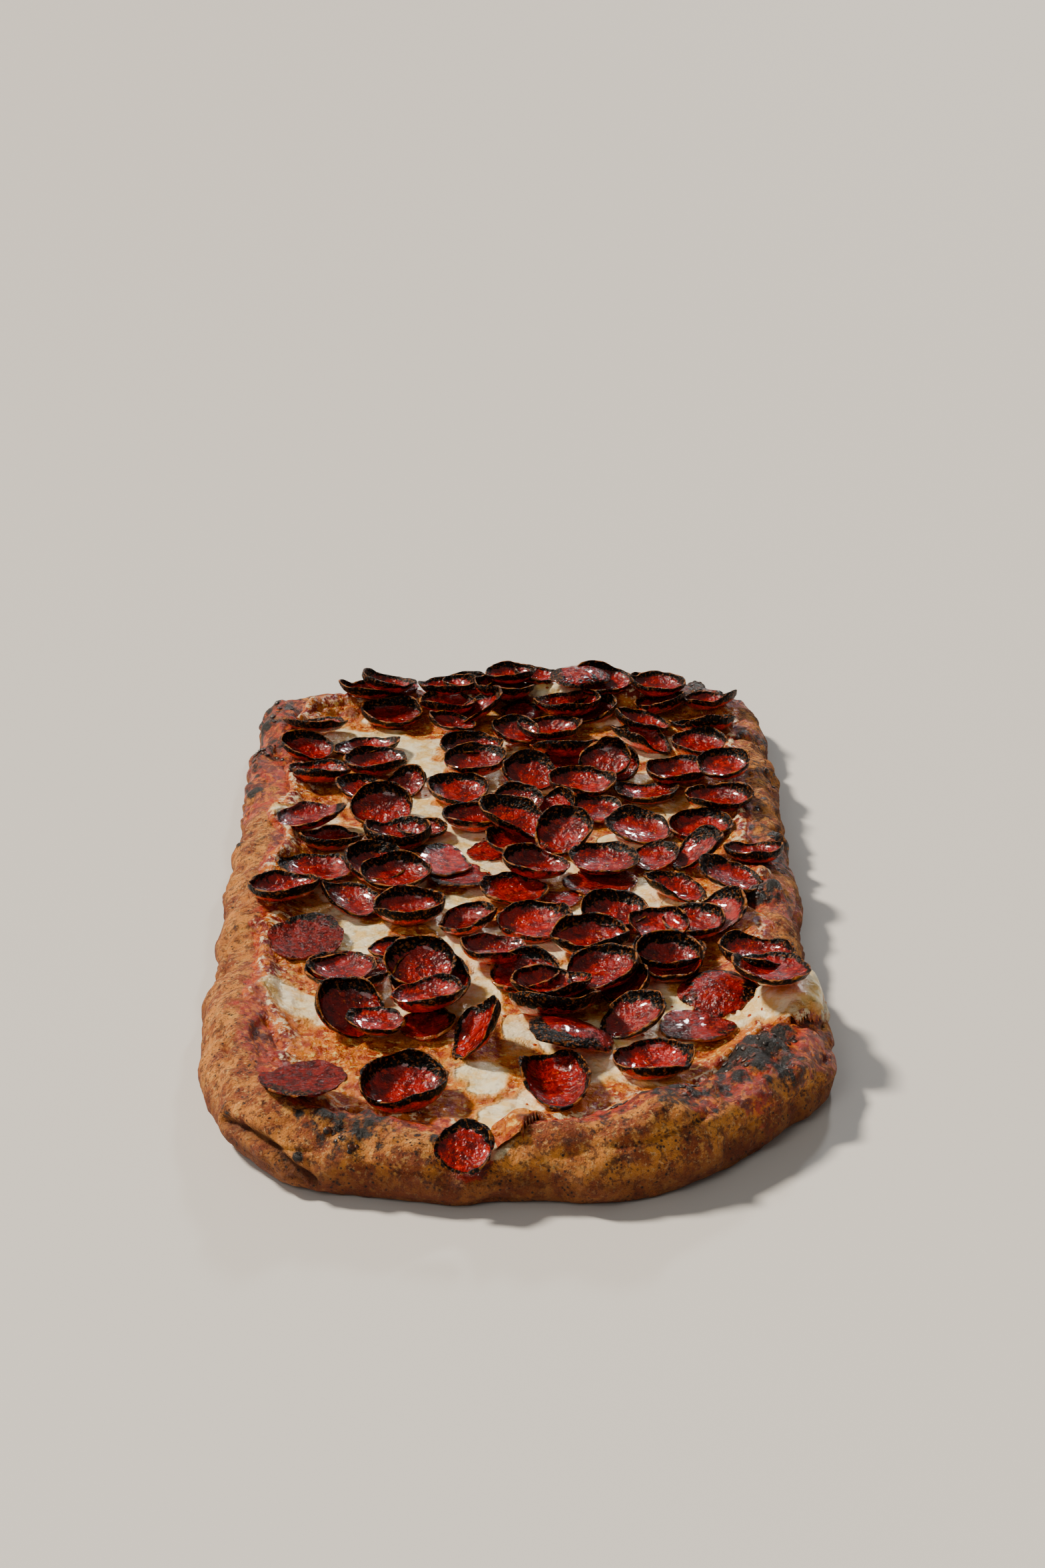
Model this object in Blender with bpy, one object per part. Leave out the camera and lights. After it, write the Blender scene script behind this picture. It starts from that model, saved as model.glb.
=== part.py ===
"""A long pizza of the kind that is baked straight on the oven floor, topped with melted cheese and cupped
slices of pepperoni with burnt rims.

The frame: +X across the pizza, +Y along it, away from its rounded front end, +Z up. The origin is at the
bottom, in the middle of the outline. Lengths are in metres, angles in degrees.
"""

import math

import bmesh
import bpy
from mathutils import Matrix, Vector
from mathutils.bvhtree import BVHTree

MM = 0.001

# The dough's outline, seen from above
LENGTH = 523 * MM
FRONT_WIDTH = 264 * MM
BACK_WIDTH = 292 * MM
FRONT_ROUNDING = 112 * MM
BACK_ROUNDING = 50 * MM
CORNER_POWER = 2.2
EDGE_WAVES = ((11, 0.9 * MM, 2.1), (23, 0.6 * MM, 4.0))
# Where the outline bulges out or is drawn in: x, y, how wide and how far, in millimetres
EDGE_BULGES = (
    (-98, -232, 38, 7),
    (92, -226, 42, -6),
    (132, -85, 58, -4),
    (-138, -70, 50, 2.5),
    (-146, 184, 16, -3),
    (146, 205, 40, 1.5),
    (132, -124, 12, 2.5),
)
MEDIAL_HALF = 130 * MM
OUTLINE_STEPS = 90

# The dough's section, from the floor under the toppings out over the rim to the underside
FLOOR = 13 * MM
RIM_HEIGHT = 23 * MM
FRONT_RISE = 5 * MM
FRONT_RISE_LENGTH = 90 * MM
RIM_WAVES = ((7, 2.0 * MM, 0.4), (17, 1.2 * MM, 1.9))
RIM_WIDTH = 44 * MM
CREST_INSET = 17 * MM
BELLY = 9 * MM
UNDERCUT = 7 * MM
NOTCH_AT = -21 * MM
NOTCH_WIDTH = 15 * MM
NOTCH_DEPTH = 12 * MM
HEEL = 0.3
CRUST_STATIONS = 72
SLOPE_STEPS = 4
SIDE_STEPS = 3
CREST = SLOPE_STEPS + 1
CRUST_RINGS = CREST + SIDE_STEPS + 3

# The melted cheese, a sheet that follows the dough and hangs over the rim at one place
CHEESE_THICKNESS = 3.2 * MM
CHEESE_EDGE_THICKNESS = 1.6 * MM
CHEESE_GAP = 0.7 * MM
CHEESE_INSET = 31 * MM
CHEESE_WAVES = ((9, 3.0 * MM, 1.2), (16, 2.0 * MM, 0.3))
CHEESE_LINES = 6
CHEESE_LEAST_STEP = 1.2 * MM
LIP_CENTRE = Vector((132, -135)) * MM
LIP_WIDTH = 20 * MM
LIP_REACH = 13 * MM
LIP_LOOSENESS = 2.5
CUT_CLEARANCE = 0.4 * MM

# The slices. A lean is how far the slice's right or far side is tipped up, in degrees.
SLICE_THICKNESS = 1.6 * MM
LOPSIDED = 0.16
PINCHED = 0.14
SPIN_STEP = 2.4
SLICE_STATIONS = 11
SLICE_RINGS = 6
SEATING_GAP = 0.35 * MM
SEATING_STEP = 0.5 * MM
SEATING_START = 45 * MM
TALLEST_STACK = 20 * MM
SLICE_REACH = 0.65
NUDGES = (2.5 * MM, 5 * MM)
NUDGE_WAYS = 8
NUDGE_COST = 0.5
SHRINKS = (1, 0.92, 0.85)
SHRINK_COST = 25 * MM
GOOD_ENOUGH = 2 * MM
TUCKED_SHARE = 0.75
PROFILE_STEPS = 24
# Each kind's wall angle at its rim, how late the wall rises, and the radius that a fold is bent round
KINDS = {
    "flat": (12, 1.5, None),
    "dome": (-30, 1.2, None),
    "dish": (60, 2.2, None),
    "cup": (86, 2.4, None),
    "deep": (100, 2.2, None),
    "fold": (40, 2.0, 24 * MM),
}

# Where the slices were seen: on a level plane, from one eye, both measured from this origin
EYE = Vector((-12, -903, 441)) * MM
SEEN_LEVEL = 25 * MM
SEEN_TO_ORIGIN = Vector((1, -316.5))

# The middle of each slice, x and y in millimetres on the seen level, from a point in front of the pizza that
# SEEN_TO_ORIGIN gives; width in millimetres; kind; lean to the right; lean to the back; heading of a fold
SLICES = (
    (-24, 63, 22, "dish", 0, 30, 0),
    (-88, 110, 34, "flat", -1, -9, 0),
    (-48, 106, 33, "deep", 0, 8, 0),
    (11, 110, 38, "fold", 0, 2, 95),
    (51, 123, 31, "cup", 8, -6, 0),
    (19, 145, 38, "dome", -14, -14, 0),
    (-40, 190, 36, "cup", 3, 8, 0),
    (-40, 173, 30, "cup", 10, -6, 0),
    (-20, 153, 30, "dish", 48, 4, 0),
    (-73, 169, 30, "cup", -18, 24, 0),
    (-1, 200, 29, "cup", 6, 12, 0),
    (34, 199, 33, "cup", 12, 0, 0),
    (13, 171, 38, "cup", 4, -26, 0),
    (45, 160, 29, "dish", 24, 8, 0),
    (66, 207, 32, "deep", -4, 6, 0),
    (103, 215, 32, "cup", -4, -2, 0),
    (-97, 234, 35, "flat", 0, 8, 0),
    (-111, 286, 35, "cup", 4, -12, 0),
    (-102, 304, 35, "dish", -6, -2, 0),
    (-79, 275, 34, "fold", -16, -4, 118),
    (-69, 312, 32, "cup", -10, 10, 0),
    (-54, 263, 32, "deep", 2, -4, 0),
    (-26, 249, 27, "cup", 16, -6, 0),
    (-60, 346, 35, "deep", -2, -6, 0),
    (-70, 380, 31, "cup", 0, 26, 0),
    (-105, 369, 34, "dish", 10, -4, 0),
    (-31, 401, 33, "cup", -3, 6, 0),
    (-22, 365, 32, "cup", -4, -6, 0),
    (23, 347, 30, "cup", 16, 30, 0),
    (60, 353, 35, "dish", -8, 4, 0),
    (88, 354, 31, "cup", 6, 4, 0),
    (68, 397, 34, "dish", 0, -6, 0),
    (105, 387, 35, "cup", 4, -8, 0),
    (86, 325, 30, "dish", 38, 2, 0),
    (113, 324, 30, "cup", 0, -14, 0),
    (41, 314, 34, "dish", 4, 0, 0),
    (43, 255, 30, "cup", -4, 14, 0),
    (90, 257, 30, "dish", 28, 10, 0),
    (1, 246, 33, "cup", 8, 4, 0),
    (30, 232, 34, "deep", -2, -2, 0),
    (-3, 279, 33, "dish", -4, -4, 0),
    (-105, 432, 32, "cup", 0, -10, 0),
    (-82, 464, 36, "dish", 4, -8, 0),
    (-70, 515, 37, "cup", 0, 0, 0),
    (-113, 505, 35, "dish", -2, -16, 0),
    (-24, 462, 35, "cup", -4, -4, 0),
    (7, 425, 30, "cup", -6, 20, 0),
    (48, 441, 27, "cup", 14, 34, 0),
    (87, 425, 36, "cup", 2, -8, 0),
    (102, 466, 31, "cup", 4, 6, 0),
    (107, 495, 35, "cup", 4, -22, 0),
    (115, 536, 32, "cup", 10, -14, 0),
    (31, 529, 38, "cup", 2, -6, 0),
    (-20, 526, 32, "dish", 34, -2, 0),
    (-7, 556, 37, "cup", -4, -8, 0),
    (-39, 562, 34, "cup", 2, -8, 0),
    (48, 557, 34, "cup", -6, 10, 0),
    (87, 535, 31, "cup", 14, -10, 0),
)

# Slices that lie partly under those: their bottoms take up room here, and they are no node
TUCKED_SLICES = (
    (-35, 154, 23, "dish", 10, 4, 0),
    (-10, 211, 29, "cup", -6, -8, 0),
    (38, 188, 24, "cup", 22, 6, 0),
    (80, 184, 33, "dome", 4, 10, 0),
    (71, 151, 31, "flat", 0, -4, 0),
    (59, 240, 28, "cup", 0, 2, 0),
    (-27, 296, 32, "flat", 0, -8, 0),
    (20, 270, 19, "flat", 0, -2, 0),
    (-14, 325, 23, "flat", 0, 0, 0),
    (38, 288, 35, "flat", 0, -2, 0),
    (66, 318, 24, "dish", 6, 10, 0),
    (41, 375, 26, "dish", 0, 8, 0),
    (-5, 379, 26, "dish", 6, 26, 0),
    (-42, 317, 33, "flat", -8, 0, 0),
    (37, 411, 35, "cup", 4, 0, 0),
    (27, 465, 36, "cup", 0, -20, 0),
    (21, 490, 38, "cup", 0, -10, 0),
    (-84, 408, 27, "dish", -12, 10, 0),
    (43, 577, 40, "dome", 0, 2, 0),
    (-67, 568, 21, "flat", 0, 8, 0),
)


def wave(waves, share):
    """The sum of a few sine waves at a share of the way round."""
    return sum(height * math.sin(math.tau * count * share + phase) for count, height, phase in waves)


def bulge(point):
    """How far the outline stands out at a point because of its bulges."""
    rows = [(Vector((x, y)) * MM, width * MM, out * MM) for x, y, width, out in EDGE_BULGES]
    return sum(out * math.exp(-(((point - place).length / width) ** 2)) for place, width, out in rows)


def signed_power(value, power):
    return math.copysign(abs(value) ** power, value)


def end_arc(half_width, rounding, start, turn):
    """One rounded end, as half a superellipse about the place where the rounding begins."""
    arc = []
    for step in range(OUTLINE_STEPS + 1):
        angle = start + turn * step / OUTLINE_STEPS
        x = half_width * signed_power(math.cos(angle), 2 / CORNER_POWER)
        y = rounding * signed_power(math.sin(angle), 2 / CORNER_POWER)
        arc.append(Vector((x, y)))
    return arc


def plain_outline():
    """The outline without its waves, anticlockwise from the left side, round the front end first."""
    front = end_arc(FRONT_WIDTH / 2, FRONT_ROUNDING, math.pi, math.pi)
    back = end_arc(BACK_WIDTH / 2, BACK_ROUNDING, 0, math.pi)
    front_middle = Vector((0, -LENGTH / 2 + FRONT_ROUNDING))
    back_middle = Vector((0, LENGTH / 2 - BACK_ROUNDING))
    return [p + front_middle for p in front] + [p + back_middle for p in back]


def evenly_spaced(points, count):
    """The same closed line with its points at equal steps along it."""
    ends = points[1:] + points[:1]
    lengths = [(b - a).length for a, b in zip(points, ends)]
    step = sum(lengths) / count
    spaced, walked, piece = [], 0.0, 0
    for i in range(count):
        while walked + lengths[piece] < i * step:
            walked += lengths[piece]
            piece += 1
        share = (i * step - walked) / max(lengths[piece], 1e-9)
        spaced.append(points[piece].lerp(ends[piece], share))
    return spaced


def outline(count):
    """The wavy outline, centred on the origin."""
    plain = evenly_spaced(plain_outline(), count)
    wavy = []
    for i, point in enumerate(plain):
        along = plain[(i + 1) % count] - plain[i - 1]
        outwards = Vector((along.y, -along.x)).normalized()
        wavy.append(point + outwards * (wave(EDGE_WAVES, i / count) + bulge(point)))
    low = Vector((min(p.x for p in wavy), min(p.y for p in wavy)))
    high = Vector((max(p.x for p in wavy), max(p.y for p in wavy)))
    return [p - (low + high) / 2 for p in wavy]


def rim_height(share, edge_point):
    """The rim's height at one station: highest at the front end, where it has a notch, and rolling up and
    down."""
    notch = 0.0
    if edge_point.y < 0:
        notch = NOTCH_DEPTH * math.exp(-(((edge_point.x - NOTCH_AT) / NOTCH_WIDTH) ** 2))
    from_front = (edge_point.y + LENGTH / 2) / FRONT_RISE_LENGTH
    return RIM_HEIGHT + FRONT_RISE * math.exp(-(from_front ** 2)) + wave(RIM_WAVES, share) - notch


def crust_section(height, reach):
    """Inset from the outline and height above the ground, from the middle of the top to the bottom's."""
    section = [(reach, FLOOR)]
    for part in range(SLOPE_STEPS):
        share = part / SLOPE_STEPS
        inset = RIM_WIDTH + (CREST_INSET - RIM_WIDTH) * share
        section.append((inset, FLOOR + (height - FLOOR) * (1 - math.cos(math.pi * share)) / 2))
    for part in range(SIDE_STEPS + 1):
        turn = math.pi / 2 * part / SIDE_STEPS
        section.append((CREST_INSET * (1 - math.sin(turn)), BELLY + (height - BELLY) * math.cos(turn)))
    section.append((UNDERCUT * HEEL, BELLY * HEEL))
    section.append((UNDERCUT, 0.0))
    section.append((reach, 0.0))
    return section


def shaped_ball(name, stations, rings, place, centres):
    """A closed mesh from a ball: place(station, ring) is a point of it, ring 0 the top pole and ring rings
    the bottom one, for which centres are given."""
    mesh = bpy.data.meshes.new(name)
    form = bmesh.new()
    bmesh.ops.create_uvsphere(form, u_segments=stations, v_segments=rings, radius=1)
    for vert in form.verts:
        ring = round(math.acos(max(-1, min(1, vert.co.z))) / math.pi * rings)
        station = round(math.atan2(vert.co.y, vert.co.x) / math.tau * stations) % stations
        if ring in (0, rings):
            vert.co = centres[ring == rings]
        else:
            vert.co = place(station, ring)
    form.to_mesh(mesh)
    form.free()
    return bpy.data.objects.new(name, mesh)


class Stations:
    """The edge points of the dough, the way in from each, and the section there."""

    def __init__(self, count):
        self.edge = outline(count)
        self.sections, self.inwards = [], []
        for i, point in enumerate(self.edge):
            middle = Vector((0, max(-MEDIAL_HALF, min(MEDIAL_HALF, point.y))))
            reach = (middle - point).length
            self.inwards.append((middle - point) / reach)
            self.sections.append(crust_section(rim_height(i / count, point), reach))

    def point(self, station, inset, height):
        flat = self.edge[station] + self.inwards[station] * inset
        return Vector((flat.x, flat.y, height))

    def walked(self, station):
        """How far past the crest each point of the section is, along the dough's surface, up to the belly."""
        section = [Vector(p) for p in self.sections[station][:-3]]
        steps = [(b - a).length for a, b in zip(section, section[1:])]
        return [sum(steps[:i]) - sum(steps[:CREST]) for i in range(len(section))]

    def over(self, station, walked, lift):
        """A point over the dough: walked is how far it is past the crest, along the section, and lift how far
        it stands off the surface."""
        section = [Vector(p) for p in self.sections[station][:-3]]
        lengths = self.walked(station)
        here = max(i for i in range(len(section) - 1) if lengths[i] <= walked)
        way = (section[here + 1] - section[here]).normalized()
        spot = section[here] + way * (walked - lengths[here])
        if here > 0 and walked - lengths[here] < 1e-6:
            way = (way + (section[here] - section[here - 1]).normalized()).normalized()
        return self.point(station, spot.x + way.y * lift, spot.y - way.x * lift)


def make_crust(stations):
    def place(station, ring):
        return stations.point(station, *stations.sections[station][ring])

    centres = (Vector((0, 0, FLOOR)), Vector((0, 0, 0)))
    return shaped_ball("crust", CRUST_STATIONS, CRUST_RINGS, place, centres)


def lip_share(stations, station):
    """1 where the cheese hangs over the rim, fading to 0 on both sides."""
    return math.exp(-(((stations.edge[station] - LIP_CENTRE).length / LIP_WIDTH) ** 2))


def cheese_edge(stations, station):
    """How far past the rim's crest the cheese reaches, along the dough's surface."""
    plain = CREST_INSET - CHEESE_INSET - wave(CHEESE_WAVES, station / CRUST_STATIONS)
    return plain + (LIP_REACH - plain) * lip_share(stations, station)


def make_cheese(stations):
    """The lines of the cheese lie over those of the dough, and close up towards its edge."""
    rings = 2 * (CHEESE_LINES + 1)
    top = FLOOR + CHEESE_GAP + CHEESE_THICKNESS

    def place(station, ring):
        edge = cheese_edge(stations, station)
        gap = CHEESE_GAP * (1 + LIP_LOOSENESS * lip_share(stations, station))
        line = min(ring, rings - ring)
        if ring == rings / 2:
            return stations.over(station, edge, gap + CHEESE_EDGE_THICKNESS / 2)
        walked = min(stations.walked(station)[line], edge - (CHEESE_LINES + 1 - line) * CHEESE_LEAST_STEP)
        share = line / (CHEESE_LINES + 1)
        thick = CHEESE_THICKNESS + (CHEESE_EDGE_THICKNESS - CHEESE_THICKNESS) * share
        return stations.over(station, walked, gap + (thick if ring < rings / 2 else 0))

    centres = (Vector((0, 0, top)), Vector((0, 0, FLOOR + CHEESE_GAP)))
    return shaped_ball("cheese", CRUST_STATIONS, rings, place, centres)


def wall_profile(wall_angle, lateness):
    """Radius and height along a slice of radius 1, whose slope grows from 0 in its middle to wall_angle
    at its rim."""
    profile = [(0.0, 0.0)]
    for step in range(PROFILE_STEPS):
        slope = math.radians(wall_angle) * ((step + 0.5) / PROFILE_STEPS) ** lateness
        radius, height = profile[-1]
        profile.append((radius + math.cos(slope) / PROFILE_STEPS, height + math.sin(slope) / PROFILE_STEPS))
    return profile


def read_profile(profile, share):
    place = share * (len(profile) - 1)
    first = min(int(place), len(profile) - 2)
    blend = place - first
    low, high = profile[first], profile[first + 1]
    return low[0] + (high[0] - low[0]) * blend, low[1] + (high[1] - low[1]) * blend


def bent(point, radius, heading):
    """The point after the slice is bent up on both sides of a line with that heading."""
    turn = Matrix.Rotation(math.radians(heading), 3, "Z")
    flat = turn.inverted() @ point
    angle = flat.y / radius
    flat.y, flat.z = (radius - flat.z) * math.sin(angle), radius - (radius - flat.z) * math.cos(angle)
    return turn @ flat


class Slice:
    """One slice: how it is curled, and where it was seen."""

    def __init__(self, number, row):
        x, y, width, kind, lean_right, lean_back, heading = row
        self.number = number
        self.wall, self.lateness, self.fold = KINDS[kind]
        self.width, self.heading = width * MM, heading
        self.seen = Vector((x, y)) * MM + SEEN_TO_ORIGIN * MM
        right, back = math.tan(math.radians(lean_right)), math.tan(math.radians(lean_back))
        normal = Vector((-right, -back, 1)).normalized()
        self.turn = Vector((0, 0, 1)).rotation_difference(normal).to_matrix()
        full = wall_profile(self.wall, self.lateness)[-1]
        self.raw_radius = self.width / 2 / full[0]

    def unevenness(self, angle):
        """The wall stands steeper on some sides than on others."""
        spin = self.number * SPIN_STEP
        return 1 + LOPSIDED * math.cos(angle - spin) + PINCHED * math.cos(2 * angle + 1.7 * spin)

    def surface(self, share, angle):
        """A point of the slice's middle surface before it is placed."""
        profile = wall_profile(self.wall * self.unevenness(angle), self.lateness)
        radius, height = (value * self.raw_radius for value in read_profile(profile, share))
        point = Vector((radius * math.cos(angle), radius * math.sin(angle), height))
        if self.fold:
            point = bent(point, self.fold, self.heading)
        return self.turn @ point

    def skin(self, share, angle, side):
        """A point of its upper side, side 1, its lower side, side -1, or its rim, side 0."""
        nudge = 0.02
        here = self.surface(share, angle)
        far = min(share + nudge, 1)
        along = self.surface(far, angle) - self.surface(far - 2 * nudge, angle)
        across = self.surface(share, angle + nudge) - self.surface(share, angle - nudge)
        return here + along.cross(across).normalized() * side * SLICE_THICKNESS / 2

    def shape(self):
        """The closed shape as points and faces, with the middle of its underside's level at the origin."""
        def place(station, ring):
            middle = SLICE_RINGS / 2
            side = 1 if ring < middle else -1
            share = ring / middle if ring < middle else (SLICE_RINGS - ring) / middle
            angle = math.tau * station / SLICE_STATIONS
            if ring == middle:
                return self.skin(1.0, angle, 0)
            return self.skin(min(share, 0.97), angle, side)

        up = self.turn @ Vector((0, 0, SLICE_THICKNESS / 2))
        ball = shaped_ball("slice", SLICE_STATIONS, SLICE_RINGS, place, (up, -up))
        points = [v.co.copy() for v in ball.data.vertices]
        faces = [tuple(f.vertices) for f in ball.data.polygons]
        bpy.data.meshes.remove(ball.data)
        low = Vector([min(p[axis] for p in points) for axis in range(3)])
        high = Vector([max(p[axis] for p in points) for axis in range(3)])
        foot = Vector(((low.x + high.x) / 2, (low.y + high.y) / 2, low.z))
        return [p - foot for p in points], faces, (high.z - low.z) / 2


def drop(points, faces, spot, obstacles, start):
    """The lowest height that the shape reaches when it comes straight down on the obstacles."""
    height = start
    while height > 0:
        offset = Vector((spot.x, spot.y, height - SEATING_STEP))
        tree = BVHTree.FromPolygons([p + offset for p in points], faces)
        if any(tree.overlap(other) for other in obstacles):
            break
        height -= SEATING_STEP
    return height + SEATING_GAP


def seat(piece, bed, others):
    """Puts a slice near where it was seen, on the bed and beside the slices before it, and gives its points
    and faces. Rather than lie on top of a neighbour, it may move a little sideways or be a little smaller."""
    points, faces, half_height = piece.shape()

    def seen_at(level):
        return EYE.xy + (piece.seen - EYE.xy) * (EYE.z - level) / (EYE.z - SEEN_LEVEL)

    level = SEEN_LEVEL
    for _ in range(3):
        middle = seen_at(level)
        bed_height = drop(points, faces, middle, [bed], SEATING_START)
        level = max(bed_height, FLOOR) + half_height
    best = None
    for share in SHRINKS:
        smaller = [p * share for p in points]
        reach = piece.width * share * SLICE_REACH
        for nudge in (0, *NUDGES):
            for way in range(NUDGE_WAYS if nudge else 1):
                angle = math.tau * way / NUDGE_WAYS
                spot = middle + Vector((math.cos(angle), math.sin(angle))) * nudge
                near = [tree for place, size, tree in others if (place - spot).length < reach + size]
                height = drop(smaller, faces, spot, [bed, *near], bed_height + TALLEST_STACK)
                off = (spot - seen_at(height + half_height * share)).length
                cost = height - bed_height + off * NUDGE_COST + (1 - share) * SHRINK_COST
                if best is None or cost < best[0]:
                    best = (cost, share, Vector((spot.x, spot.y, height)))
            if best[0] < GOOD_ENOUGH:
                break
        if best[0] < GOOD_ENOUGH:
            break
    _, share, moved = best
    seated = [p * share + moved for p in points]
    others.append((moved.xy, piece.width * share * SLICE_REACH, BVHTree.FromPolygons(seated, faces)))
    return seated, faces


def keep_clear(obj, other, cutters):
    """Cuts from an object whatever comes too close to another one."""
    cutter = bpy.data.objects.new(f"{other.name}_clearance", other.data.copy())
    normals = [v.normal.copy() for v in other.data.vertices]
    for vert, normal in zip(cutter.data.vertices, normals):
        vert.co += normal * CUT_CLEARANCE
    cutter.hide_render = True
    cutter.display_type = "WIRE"
    cutters.objects.link(cutter)
    cut = obj.modifiers.new("keep clear", "BOOLEAN")
    cut.operation, cut.solver, cut.object = "DIFFERENCE", "EXACT", cutter


def colour(name, rgb, roughness):
    material = bpy.data.materials.new(name)
    material.use_nodes = True
    shader = material.node_tree.nodes["Principled BSDF"]
    shader.inputs["Base Color"].default_value = (*rgb, 1)
    shader.inputs["Roughness"].default_value = roughness
    shader.inputs["Metallic"].default_value = 0
    return material


def main():
    for obj in list(bpy.data.objects):
        bpy.data.objects.remove(obj)
    pizza = bpy.data.collections.new("pizza")
    cutters = bpy.data.collections.new("cutters")
    bpy.context.scene.collection.children.link(pizza)
    bpy.context.scene.collection.children.link(cutters)

    baked_dough = colour("baked dough", (0.42, 0.20, 0.07), 0.8)
    melted_cheese = colour("melted cheese", (0.80, 0.66, 0.42), 0.35)
    oily_pepperoni = colour("oily pepperoni", (0.30, 0.02, 0.01), 0.25)

    stations = Stations(CRUST_STATIONS)
    crust, cheese = make_crust(stations), make_cheese(stations)
    crust.data.materials.append(baked_dough)
    cheese.data.materials.append(melted_cheese)
    pizza.objects.link(crust)
    pizza.objects.link(cheese)
    keep_clear(cheese, crust, cutters)

    bed_points = [v.co for obj in (crust, cheese) for v in obj.data.vertices]
    shift = len(crust.data.vertices)
    bed_faces = [tuple(f.vertices) for f in crust.data.polygons]
    bed_faces += [tuple(i + shift for i in f.vertices) for f in cheese.data.polygons]
    bed = BVHTree.FromPolygons(bed_points, bed_faces)

    others = []
    for number, (x, y, width, _, lean_right, lean_back, _) in enumerate(TUCKED_SLICES):
        row = (x, y, width * TUCKED_SHARE, "flat", lean_right, lean_back, 0)
        seat(Slice(number + len(SLICES), row), bed, others)
    for number, row in enumerate(SLICES):
        points, faces = seat(Slice(number, row), bed, others)
        mesh = bpy.data.meshes.new(f"pepperoni_{number + 1:02d}")
        mesh.from_pydata(points, [], faces)
        mesh.materials.append(oily_pepperoni)
        pizza.objects.link(bpy.data.objects.new(mesh.name, mesh))

    for obj in pizza.objects:
        obj.data.shade_smooth()
        obj.data.set_sharp_from_angle(angle=math.radians(50))


main()
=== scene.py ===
import itertools
import math

import bpy
import numpy as np
from mathutils import Euler, Matrix, Vector
from mathutils.bvhtree import BVHTree


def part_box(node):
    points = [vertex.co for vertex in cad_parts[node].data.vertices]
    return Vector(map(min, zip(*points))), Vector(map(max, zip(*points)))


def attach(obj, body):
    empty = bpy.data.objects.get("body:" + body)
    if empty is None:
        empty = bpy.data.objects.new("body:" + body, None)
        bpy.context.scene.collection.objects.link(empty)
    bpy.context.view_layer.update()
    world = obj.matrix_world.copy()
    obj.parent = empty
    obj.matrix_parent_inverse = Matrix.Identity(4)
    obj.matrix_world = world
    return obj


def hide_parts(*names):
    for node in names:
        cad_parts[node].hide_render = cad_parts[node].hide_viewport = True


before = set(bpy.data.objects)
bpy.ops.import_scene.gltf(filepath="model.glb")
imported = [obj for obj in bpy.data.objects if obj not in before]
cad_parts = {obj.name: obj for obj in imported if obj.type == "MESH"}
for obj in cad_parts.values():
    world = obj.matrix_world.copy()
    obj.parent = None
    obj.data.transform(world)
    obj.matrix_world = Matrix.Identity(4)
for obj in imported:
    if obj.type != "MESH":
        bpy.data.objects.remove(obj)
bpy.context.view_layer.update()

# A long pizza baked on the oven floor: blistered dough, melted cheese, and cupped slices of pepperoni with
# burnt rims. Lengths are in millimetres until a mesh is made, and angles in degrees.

TAU = math.tau
MM = 0.001

# The dough's outline and section, as the solids have them. A wave has its count, height and phase; a bulge
# has its x, y, width and how far out it goes.
LENGTH = 523
FRONT_WIDTH = 264
BACK_WIDTH = 292
FRONT_ROUNDING = 112
BACK_ROUNDING = 50
CORNER_POWER = 2.2
EDGE_WAVES = ((11, 0.9, 2.1), (23, 0.6, 4.0))
EDGE_BULGES = (
    (-98, -232, 38, 7),
    (92, -226, 42, -6),
    (132, -85, 58, -4),
    (-138, -70, 50, 2.5),
    (-146, 184, 16, -3),
    (146, 205, 40, 1.5),
    (132, -124, 12, 2.5),
)
MEDIAL_HALF = 130
FLOOR = 13
RIM_HEIGHT = 23
FRONT_RISE = 5
FRONT_RISE_LENGTH = 90
RIM_WAVES = ((7, 2.0, 0.4), (17, 1.2, 1.9))
RIM_WIDTH = 44
CREST_INSET = 17
BELLY = 9
UNDERCUT = 7
NOTCH_AT = -21
NOTCH_WIDTH = 15
NOTCH_DEPTH = 12

# The mesh of the crust: stations round the outline, rings over each stretch of its section, and how far in
# from the outline the floor and the underside go
CRUST_STATIONS = 900
FLOOR_RINGS = 3
SLOPE_RINGS = 34
SIDE_RINGS = 40
HEEL_RINGS = 11
UNDER_RINGS = 3
FLOOR_REACH = 56
UNDER_REACH = 30

# Lumps of the dough: how large, and how far they stand out
DOUGH_LUMPS = ((30, 2.3), (13, 1.5), (6, 0.8), (3, 0.35))
# Wrinkles round the rim: how deep, how long and how wide they are, the share of the dough in them, and the
# radius of the circle that the rim is taken for
WRINKLES = 1.5
WRINKLE_SIZE = (34, 7)
WRINKLE_SHARE = 0.35
WRINKLE_RADIUS = 240
BLISTERS = 190
BLISTER_RADII = (1.6, 5.2)
BLISTER_HEIGHTS = (0.2, 0.42)
# The rings that blisters may sit on, counted from the crest: the first, the commonest and the last for
# random ones, and the first and the last for chosen ones
BLISTER_RINGS = (-24, 2, 36)
CHOSEN_RINGS = (-16, 30)

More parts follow.
